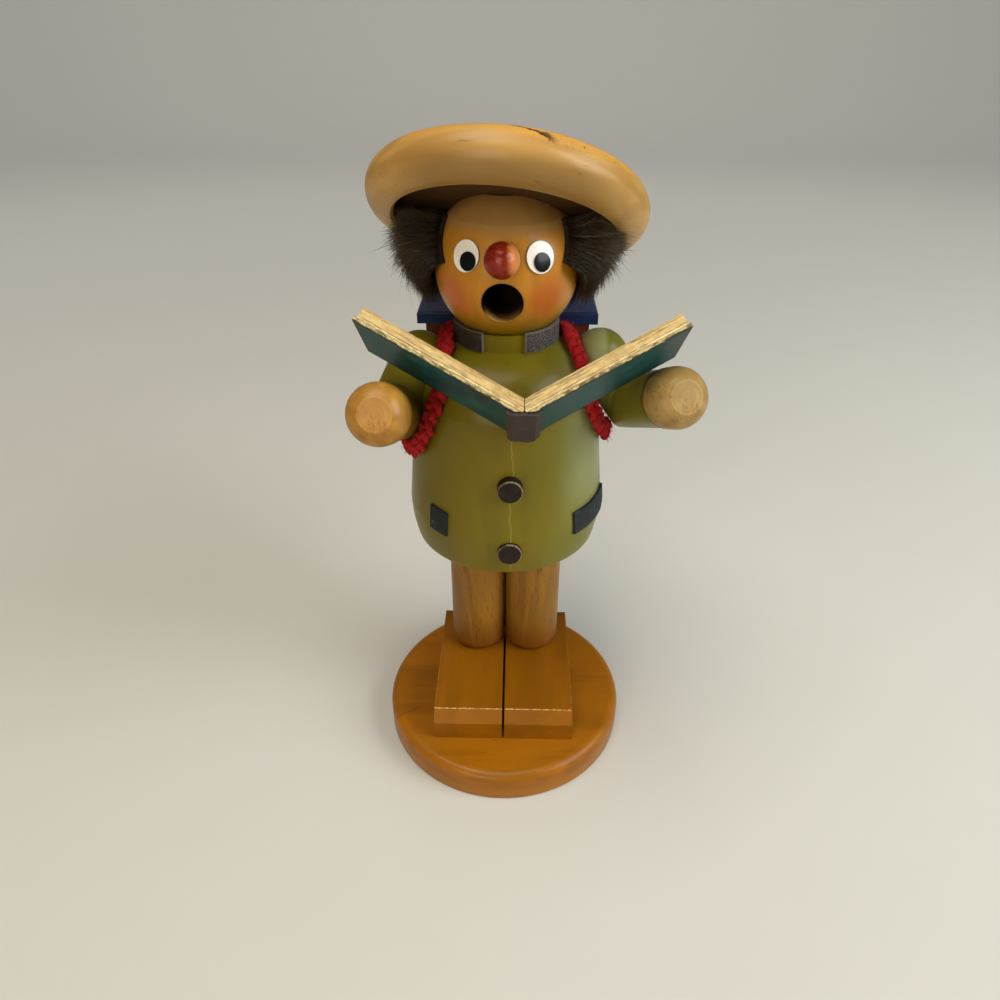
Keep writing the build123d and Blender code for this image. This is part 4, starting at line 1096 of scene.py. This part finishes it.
def fur_lines(rng, count, across_from, across_to, reach):
    """Centre lines of strands in clumps, from the strip to the fur's outline.

    A strand is the curve (1-t)^2 * root + 2 t (1-t) * knee + t^2 * tip. The tip lies on the
    outline that belongs to the root's level, lowered by the strip's fall. It is turned to the
    root's direction, or behind the cheek where that is in front of it. The knee is straight
    out from the root, and the strands of a clump lean together.
    """
    clumps = count // STRANDS_IN_CLUMP
    across = rng.uniform(across_from, across_to, clumps)
    level = rng.uniform(0, 1, clumps)
    lean = rng.normal(scale=1.0, size=(clumps, 3))
    member = rng.integers(0, clumps, count)
    across = np.clip(across[member] + rng.normal(scale=0.008, size=count), 0, 1)
    level = np.clip(level[member] + rng.normal(scale=0.05, size=count), 0, 1)
    turn, height, rear = strip_place(across, level)
    root = round_the_figure(turn, head_radius(height) + 0.9 * MM, height)
    outline = np.array(FUR_OUTLINE) * MM
    share = np.clip(level + 0.06 * lean[member, 0] + rng.normal(scale=0.05, size=count), 0, 1)
    where = share * (len(outline) - 1)
    back = np.clip(np.abs(np.mod(turn + np.pi, 2 * np.pi) - np.pi) - REAR_TURN, 0, 1)
    radius = np.interp(where, np.arange(len(outline)), outline[:, 0]) * (1 - REAR_DRAW * back)
    tip_height = HEAD_FOOT + np.interp(where, np.arange(len(outline)), outline[:, 1])
    tip_height = tip_height - FUR_FALL * rear * 1.15
    tip_turn = turn + np.radians(4.0) * lean[member, 1] + rng.normal(scale=0.045, size=count)
    least = np.radians(CHEEK_BACK - CHEEK_SLANT * share) + rng.normal(scale=0.07, size=count)
    tip_turn = np.clip(tip_turn, least, 2 * np.pi - least)
    tip = round_the_figure(tip_turn, radius, tip_height)
    full = rng.uniform(SHORTEST, 1.0, count) * reach * (1 + 0.05 * lean[member, 2])
    full = np.where(rng.uniform(size=count) > LONG_FROM, full * LONG_BY, full)
    tip = root + (tip - root) * full[:, None] + rng.normal(scale=0.35 * MM, size=(count, 3))
    outward = round_the_figure(turn, np.ones(count), 0 * turn) - np.array([0, AXIS_Y, 0])
    size = np.linalg.norm(tip - root, axis=1, keepdims=True)
    knee = root + outward * size * 0.55 + rng.normal(scale=0.5 * MM, size=(count, 3))
    t = np.linspace(0, 1, 5)[None, :, None]
    line = ((1 - t) ** 2 * root[:, None] + 2 * t * (1 - t) * knee[:, None] + t * t * tip[:, None])
    return under_hat(line, rng.uniform(0.1, 0.9, (count, 1)) * MM)


def slit_shade_bead():
    """Dark bead that stands for the shade in the slit where the legs meet, at the share t of its
    height from 0 to 1.

    Its section is the ellipse (a * w(t) * cos(angle), b * w(t) * sin(angle)), where w(t) is
    the square root of 1 - (2t - 1)^8, so that both ends are rounded.
    """
    low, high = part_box("left_leg")
    half_width, half_depth, end_gap = 0.34 * MM, 1.3 * MM, 2.5 * MM
    t = np.linspace(0.004, 0.996, 40)
    angle = np.arange(12) * 2 * np.pi / 12
    width = np.sqrt(1 - (2 * t - 1) ** 8)
    x = half_width * width[:, None] * np.cos(angle)
    y = (low.y + high.y) / 2 + half_depth * width[:, None] * np.sin(angle)
    z = low.z + end_gap + (high.z - low.z - 2 * end_gap) * t[:, None] + 0 * angle
    return tubes(np.stack([x, y, z], axis=-1)[None])


def strap_line(name):
    """Points along a strap's route: a smooth curve with the route's points as its controls."""
    route = np.array(STRAP_ROUTES[name]) * MM + np.array([0, AXIS_Y, SHOULDER_LINE])
    curve = bpy.data.curves.new(f"{name}_route", "CURVE")
    curve.dimensions = "3D"
    curve.resolution_u = 12
    spline = curve.splines.new("NURBS")
    spline.points.add(len(route) - 1)
    for point, place in zip(spline.points, route):
        point.co = (*place, 1.0)
    spline.order_u = 3
    spline.use_endpoint_u = True
    holder = new_object(f"{name}_route", curve)
    bpy.context.view_layer.update()
    mesh = bpy.data.meshes.new_from_object(holder)
    line = np.empty(len(mesh.vertices) * 3)
    mesh.vertices.foreach_get("co", line)
    bpy.data.objects.remove(holder)
    bpy.data.meshes.remove(mesh)
    bpy.data.curves.remove(curve)
    line = line.reshape(-1, 3)
    return line[::-1] if np.linalg.norm(line[0] - route[0]) > MM else line


def even_line(line, count):
    """Points spread evenly along a line, with the length run through at each."""
    run = np.concatenate([[0], np.cumsum(np.linalg.norm(np.diff(line, axis=0), axis=1))])
    where = np.linspace(0, run[-1], count)
    return np.stack([np.interp(where, run, line[:, k]) for k in range(3)], axis=-1), where


def plait(rng, line, run, outward, sideways, width, pitch):
    """Rings and maps of three two-ply strands, plaited along a strap's line.

    A strand swings sideways by the sine of its phase and outwards by the sine of twice its
    phase. Its section is an ellipse that two plies swell in turn, and it thins at both ends.
    """
    swing, lift, thick = width * 0.29, width * 0.12, width * 0.185
    phase = 2 * np.pi * run / pitch + smooth_noise(rng, run / (5 * MM), 3, 0.35)
    turn = np.linspace(0, 2 * np.pi, 19)[:-1]
    ends = np.clip(np.minimum(run, run[-1] - run) / (1.2 * MM), 0.25, 1)
    ply = np.cos(2 * turn[None] + 2 * np.pi * run[:, None] / YARN_TWIST)
    rings, maps = [], []
    for strand in range(3):
        angle = phase + strand * 2 * np.pi / 3
        wander = smooth_noise(rng, run / (2.2 * MM), 3, 0.05 * width)
        middle = (line + sideways * (swing * np.sin(angle) + wander)[:, None]
                  + outward * (lift * np.sin(2 * angle))[:, None])
        way = unit(np.gradient(middle, axis=0))
        up = square_to(outward, way)
        over = np.cross(way, up)
        swell = 0.20 * np.sin(2 * angle) + smooth_noise(rng, run / (1.1 * MM), 3, 0.07)
        size = thick * (1 + 0.24 * ply + swell[:, None]) * ends[:, None]
        rings.append(middle[:, None] + over[:, None] * (np.cos(turn) * size * 1.2)[..., None]
                     + up[:, None] * (np.sin(turn) * size * 0.85)[..., None])
        u = np.broadcast_to(turn / (2 * np.pi), size.shape)
        v = np.broadcast_to(run[:, None] / (10 * MM), size.shape)
        maps.append(np.stack([u, v], axis=-1).reshape(-1, 2))
    return np.stack(rings), np.concatenate(maps + [np.zeros((6, 2))])


def loose_fibres(rng, rings, along, outward, count):
    """Fibres that start on a plait's rings and bend away: root + size * (t * way + t^2 * bend)."""
    pick = rng.integers(0, rings.shape[1] - 1, count)
    ring = rings[rng.integers(0, 3, count), pick]
    root = ring[np.arange(count), rng.integers(0, rings.shape[2], count)]
    way = unit(unit(root - ring.mean(axis=1)) * 0.8
               + along[pick] * rng.normal(scale=0.9, size=(count, 1))
               + rng.normal(scale=0.35, size=(count, 3)))
    way = unit(way + outward[pick] * 0.35)
    size = rng.uniform(0.4, 1.4, count) * MM
    bend = rng.normal(scale=0.6, size=(count, 3))
    t = np.linspace(0, 1, 4)[None, :, None]
    lines = root[:, None] + size[:, None, None] * (t * way[:, None] + 0.5 * t * t * bend[:, None])
    return strands(rng, lines, FIBRE_RADIUS, 0.3, rng.uniform(0, 1, count))


def page_leaf(rng, side, axes, low, high):
    """One thick leaf of a wing: a slab whose free edges are ragged and whose faces wave."""
    along, spine, above = axes
    s_share = np.linspace(0, 1, LEAF_GRID[0])[:, None]
    t_share = np.linspace(0, 1, LEAF_GRID[1])[None, :]
    reach = WING_LENGTH[side] - PAGES_INSET - rng.uniform(0, 0.25) * MM
    top = BOOK_HEIGHT - rng.uniform(0.0, 0.22) * MM
    foot = PAGES_INSET + rng.uniform(0, 0.2) * MM
    ragged_end = smooth_noise(rng, t_share * 22, 4, LEAF_RAGGED)
    ragged_top = smooth_noise(rng, s_share * 46, 5, LEAF_RAGGED)
    layers = []
    for level in (high, low):
        mitre = (0.10 * MM + level * math.sin(BOOK_RISE)) / math.cos(BOOK_RISE)
        flat = (SPINE_FLAT - level * math.cos(BOOK_RISE)) / math.sin(BOOK_RISE)
        inner = max(mitre, flat)
        s = inner + (reach - inner + ragged_end) * s_share
        t = foot + (top - foot + ragged_top) * t_share
        wave = smooth_noise(rng, s_share * 9 + t_share * 3, 2, LEAF_WAVE)
        layers.append(np.array(BOOK_FOOT) + s[..., None] * along + t[..., None] * spine
                      + (level + wave)[..., None] * above)
    return slab(*layers)


class SMOKER_OT_stand(bpy.types.Operator):
    """Finish the base plate, shoes, legs, plug and dowels."""

    bl_idname = "smoker.stand"
    bl_label = "Finish the stand"

    def execute(self, context):
        wood = context.scene.smoker_wood
        dress(stand_wood(wood.stand), "base_plate")
        dress(shoe_wood(wood.stand), "left_shoe", "right_shoe")
        dress(leg_wood(wood.leg), "left_leg", "right_leg", "hip_plug")
        # Painted shade: a dark bead that stands for the shade in the slit between the legs.
        make_piece("leg_slit_shade", *slit_shade_bead(), "stand", "brown_leg_wood",
                   leg_wood(tint(wood.leg, 0.16)))
        dress(bare_wood((0.55, 0.38, 0.20)), "ankle_dowels", "hip_dowels", "shoulder_pegs")
        dress(tin_finish(), "cone_dish")
        dress(steel_finish(), "dish_nail")
        return {"FINISHED"}


class SMOKER_OT_coat(bpy.types.Operator):
    """Finish the coat and sleeves in olive lacquer and the hands in pale wood."""

    bl_idname = "smoker.coat"
    bl_label = "Finish the coat and hands"

    def execute(self, context):
        wood = context.scene.smoker_wood
        dress(coat_lacquer(wood.coat), "coat", "left_upper_arm", "right_upper_arm",
              "left_forearm", "right_forearm")
        for side in HAND_AIMS:
            dress(hand_wood(wood.hand, side), f"{side}_hand")
        return {"FINISHED"}


class SMOKER_OT_trims(bpy.types.Operator):
    """Finish the collar, pocket strips and buttons."""

    bl_idname = "smoker.trims"
    bl_label = "Finish the trims"

    def execute(self, context):
        dress(collar_leather(), "collar")
        pocket = leather("pocket leather", (0.016, 0.019, 0.021), (0.085, 0.110, 0.135), 0.6, 0.3)
        dress(pocket.material, "left_pocket", "right_pocket")
        for node in ("upper_button", "lower_button"):
            dress(button_finish(node), node)
        return {"FINISHED"}


class SMOKER_OT_head(bpy.types.Operator):
    """Finish the head, nose, eyes and hat."""

    bl_idname = "smoker.head"
    bl_label = "Finish the head and hat"

    def execute(self, context):
        wood = context.scene.smoker_wood
        dress(head_wood(wood.head), "head")
        dress(nose_lacquer(wood.nose), "nose")
        for side in ("left", "right"):
            dress(eye_paint(side), f"{side}_eye")
        dress(pupil_paint(), "left_pupil", "right_pupil")
        dress(hat_wood(wood.hat), "hat")
        return {"FINISHED"}


class SMOKER_OT_fur(bpy.types.Operator):
    """Grow the fur strip: a leather hide round the head and three thirds of strands."""

    bl_idname = "smoker.fur"
    bl_label = "Grow the fur"

    def execute(self, context):
        fur = context.scene.smoker_fur
        across, level = np.broadcast_arrays(np.linspace(0, 1, 120)[:, None],
                                            np.linspace(0, 1, 24)[None, :])
        turn, height, _ = strip_place(across, level)
        inner, outer = (round_the_figure(turn, head_radius(height) + lift, height)
                        for lift in HIDE_LIFTS)
        points, faces = slab(outer, inner)
        hide = leather("fur hide", (0.016, 0.012, 0.010), (0.10, 0.10, 0.11), 0.8, 0.1)
        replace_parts(make_piece("fur_hide", under_hat(points, 0.05 * MM), faces, "head", "fur",
                               hide.material), "hair")
        coat = fur_hair(fur.root, fur.tip)
        rng = np.random.default_rng(FUR_SEED)
        parts = {"fur_right": (0.0, 0.27), "fur_back": (0.27, 0.76), "fur_left": (0.76, 1.0)}
        for name, (start, stop) in parts.items():
            lines = fur_lines(rng, fur.strands, start, stop, fur.reach)
            u_value = rng.uniform(0, 1, len(lines))
            points, faces, uv = strands(rng, lines, fur.radius, 0.12, u_value)
            make_piece(name, points, faces, "head", "fur", coat, uv)
        return {"FINISHED"}


class SMOKER_OT_straps(bpy.types.Operator):
    """Plait the two wool straps and their loose fibres."""

    bl_idname = "smoker.straps"
    bl_label = "Plait the straps"

    def execute(self, context):
        wanted = context.scene.smoker_straps
        material = wool(wanted.colour)
        for seed, name in enumerate(STRAP_ROUTES):
            line, run = even_line(strap_line(name), STRAP_POINTS)
            rng = np.random.default_rng(STRAP_SEED + seed)
            along = unit(np.gradient(line, axis=0))
            outward = square_to(line - np.array(STRAP_BACK), along)
            rings, uv = plait(rng, line, run, outward, np.cross(along, outward), wanted.width,
                              wanted.pitch)
            piece = make_piece(f"{name}_plait", *tubes(rings), "figure", "red_wool", material, uv)
            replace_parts(piece, name)
            points, faces, uv = loose_fibres(rng, rings, along, outward, wanted.fibres)
            make_piece(f"{name}_fibres", points, faces, "figure", "red_wool", material, uv)
        return {"FINISHED"}


class SMOKER_OT_book(bpy.types.Operator):
    """Paint the covers and bind the page leaves, whose edges are a little uneven."""

    bl_idname = "smoker.book"
    bl_label = "Make the book"

    def execute(self, context):
        wood = context.scene.smoker_wood
        s_share, t_share = (np.linspace(0, 1, count) for count in LEAF_GRID)
        on_edge = np.zeros(LEAF_GRID)
        on_edge[-1, :] = on_edge[0, :] = on_edge[:, 0] = on_edge[:, -1] = 1.0
        leaf_uv = np.stack([on_edge, (s_share[:, None] + t_share) * 0.5], axis=-1).reshape(-1, 2)
        for side, name in ((-1, "left"), (1, "right")):
            dress(cover_paint(wood.book, side, name), f"book_{name}_cover")
            rng = np.random.default_rng(PAGE_SEED + side)
            axes = [np.array(axis) for axis in wing_axes(side)]
            all_points, all_faces = [], []
            bottom, start = COVER_THICKNESS, 0
            for thick in np.array(LEAF_SHARES) * PAGES_THICKNESS:
                points, faces = page_leaf(rng, side, axes, bottom + 0.03 * MM,
                                          bottom + thick - 0.05 * MM)
                all_points.append(points)
                all_faces.append(faces[0] + start)
                start += len(points)
                bottom += thick
            piece = make_piece(f"book_{name}_leaves", np.concatenate(all_points),
                               [np.concatenate(all_faces)], "figure", "page_gold",
                               page_paper(side, name),
                               np.concatenate([leaf_uv] * 2 * len(LEAF_SHARES)), smooth=False)
            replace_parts(piece, f"book_{name}_pages")
        spine = leather("spine suede", (0.050, 0.040, 0.033), (0.13, 0.115, 0.10), 1.0, 0.1)
        dress(spine.material, "book_spine")
        return {"FINISHED"}


class SMOKER_OT_rucksack(bpy.types.Operator):
    """Paint the rucksack's body and lid."""

    bl_idname = "smoker.rucksack"
    bl_label = "Paint the rucksack"

    def execute(self, context):
        dress(painted_wood("rucksack brown", (0.095, 0.022, 0.008), (0.22, 0.11, 0.05)),
              "pack_body")
        dress(painted_wood("lid blue", (0.012, 0.026, 0.085), (0.06, 0.08, 0.14)), "pack_lid")
        return {"FINISHED"}


def add_lamp(name, place, aim, size, energy, colour):
    """Square soft lamp that looks at a point."""
    lamp = bpy.data.lights.new(name, "AREA")
    lamp.shape = "SQUARE"
    lamp.size = size
    lamp.energy = energy
    lamp.color = colour
    holder = new_object(name, lamp)
    holder.location = place
    holder.rotation_euler = (Vector(aim) - Vector(place)).to_track_quat("-Z", "Y").to_euler()


def backdrop_points():
    """Floor that bends up into a wall: a line, a quarter circle and a line, 5 m wide."""
    front, depth, corner, full = 1.2, 2.3, 0.5, 4.0
    run = np.linspace(0, full, 60)[None, :]
    turn = np.clip((run - depth) / corner, 0, math.pi / 2)
    y = -front + np.minimum(run, depth) + corner * np.sin(turn)
    z = corner * (1 - np.cos(turn)) + np.maximum(run - depth - corner * math.pi / 2, 0)
    x = np.linspace(-2.5, 2.5, 9)[:, None]
    return np.stack(np.broadcast_arrays(x, y, z - 0.02 * MM), axis=-1)


class SMOKER_OT_stage(bpy.types.Operator):
    """Set the floor and backdrop, the lamps, the world and the camera."""

    bl_idname = "smoker.stage"
    bl_label = "Set the stage"

    def execute(self, context):
        stage = context.scene.smoker_stage
        look = Look("pale floor", Roughness=0.7, Specular_IOR_Level=0.2, Emission_Strength=1.0)
        look.tone = look.mix(look.noise(40, 3), tint(stage.floor, 0.985),
                             tint(stage.floor, 1.015))
        x, y, _ = look.parts()
        far = length(x, y).step(0.10, 0.9)
        seen = look.node("ShaderNodeLightPath", "Is Camera Ray")
        look.put(look.inputs["Emission Color"],
                 look.mix(far * seen, (0, 0, 0), (0.20, 0.198, 0.185)))
        points = backdrop_points()
        quads = grid_quads(*points.shape[:2])
        floor = new_object("floor", new_mesh("floor", points.reshape(-1, 3), [quads],
                                             look.finish()))

        aim = (0, AXIS_Y, 0.09)
        add_lamp("window", (0.60, -0.22, 0.46), aim, 0.50, 5.0, (0.95, 0.98, 1.0))
        add_lamp("ceiling", (-0.12, -0.10, 0.90), aim, 0.60, 5.4, (1.0, 0.95, 0.87))
        add_lamp("front fill", (-0.28, -0.80, 0.34), aim, 0.50, 3.3, (1.0, 0.84, 0.64))

        world = bpy.data.worlds.new("soft room")
        world.use_nodes = True
        context.scene.world = world
        background = next(n for n in world.node_tree.nodes if n.type == "BACKGROUND")
        background.inputs["Color"].default_value = (1.0, 0.97, 0.92, 1.0)
        background.inputs["Strength"].default_value = 0.10

        camera = bpy.data.cameras.new("camera")
        camera.lens = stage.lens
        camera.sensor_width = 36.0
        camera.clip_start = 0.01
        holder = new_object("camera", camera)
        holder.location = stage.camera
        holder.rotation_euler = Euler((math.pi / 2 - stage.pitch, 0.0, stage.turn))
        context.scene.camera = holder
        context.scene.view_settings.view_transform = "Standard"
        return {"FINISHED"}


OPERATORS = (
    SMOKER_OT_stand, SMOKER_OT_coat, SMOKER_OT_trims, SMOKER_OT_head, SMOKER_OT_fur,
    SMOKER_OT_straps, SMOKER_OT_book, SMOKER_OT_rucksack, SMOKER_OT_stage,
)
SETTINGS = {"smoker_wood": SmokerWood, "smoker_fur": SmokerFur,
            "smoker_straps": SmokerStraps, "smoker_stage": SmokerStage}


class SMOKER_PT_sidebar(bpy.types.Panel):
    """Lists the smoker's pieces with their sizes and colours."""

    bl_idname = "SMOKER_PT_sidebar"
    bl_label = "Incense smoker"
    bl_space_type = "VIEW_3D"
    bl_region_type = "UI"
    bl_category = "Smoker"

    def draw(self, context):
        for name in SETTINGS:
            box = self.layout.box()
            group = getattr(context.scene, name)
            for key in group.__annotations__:
                box.prop(group, key)
        for operator in OPERATORS:
            self.layout.operator(operator.bl_idname)


CLASSES = (*SETTINGS.values(), *OPERATORS, SMOKER_PT_sidebar)


def register():
    """Register the classes and give the scene its settings."""
    for made in CLASSES:
        bpy.utils.register_class(made)
    for name, kind in SETTINGS.items():
        setattr(bpy.types.Scene, name, bpy.props.PointerProperty(type=kind))


def unregister():
    """Take the settings and classes away again."""
    for name in SETTINGS:
        delattr(bpy.types.Scene, name)
    for made in reversed(CLASSES):
        bpy.utils.unregister_class(made)


def main():
    """Register the add-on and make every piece."""
    register()
    bpy.ops.smoker.stand()
    bpy.ops.smoker.coat()
    bpy.ops.smoker.trims()
    bpy.ops.smoker.head()
    bpy.ops.smoker.fur()
    bpy.ops.smoker.straps()
    bpy.ops.smoker.book()
    bpy.ops.smoker.rucksack()
    bpy.ops.smoker.stage()


if __name__ == "__main__":
    main()
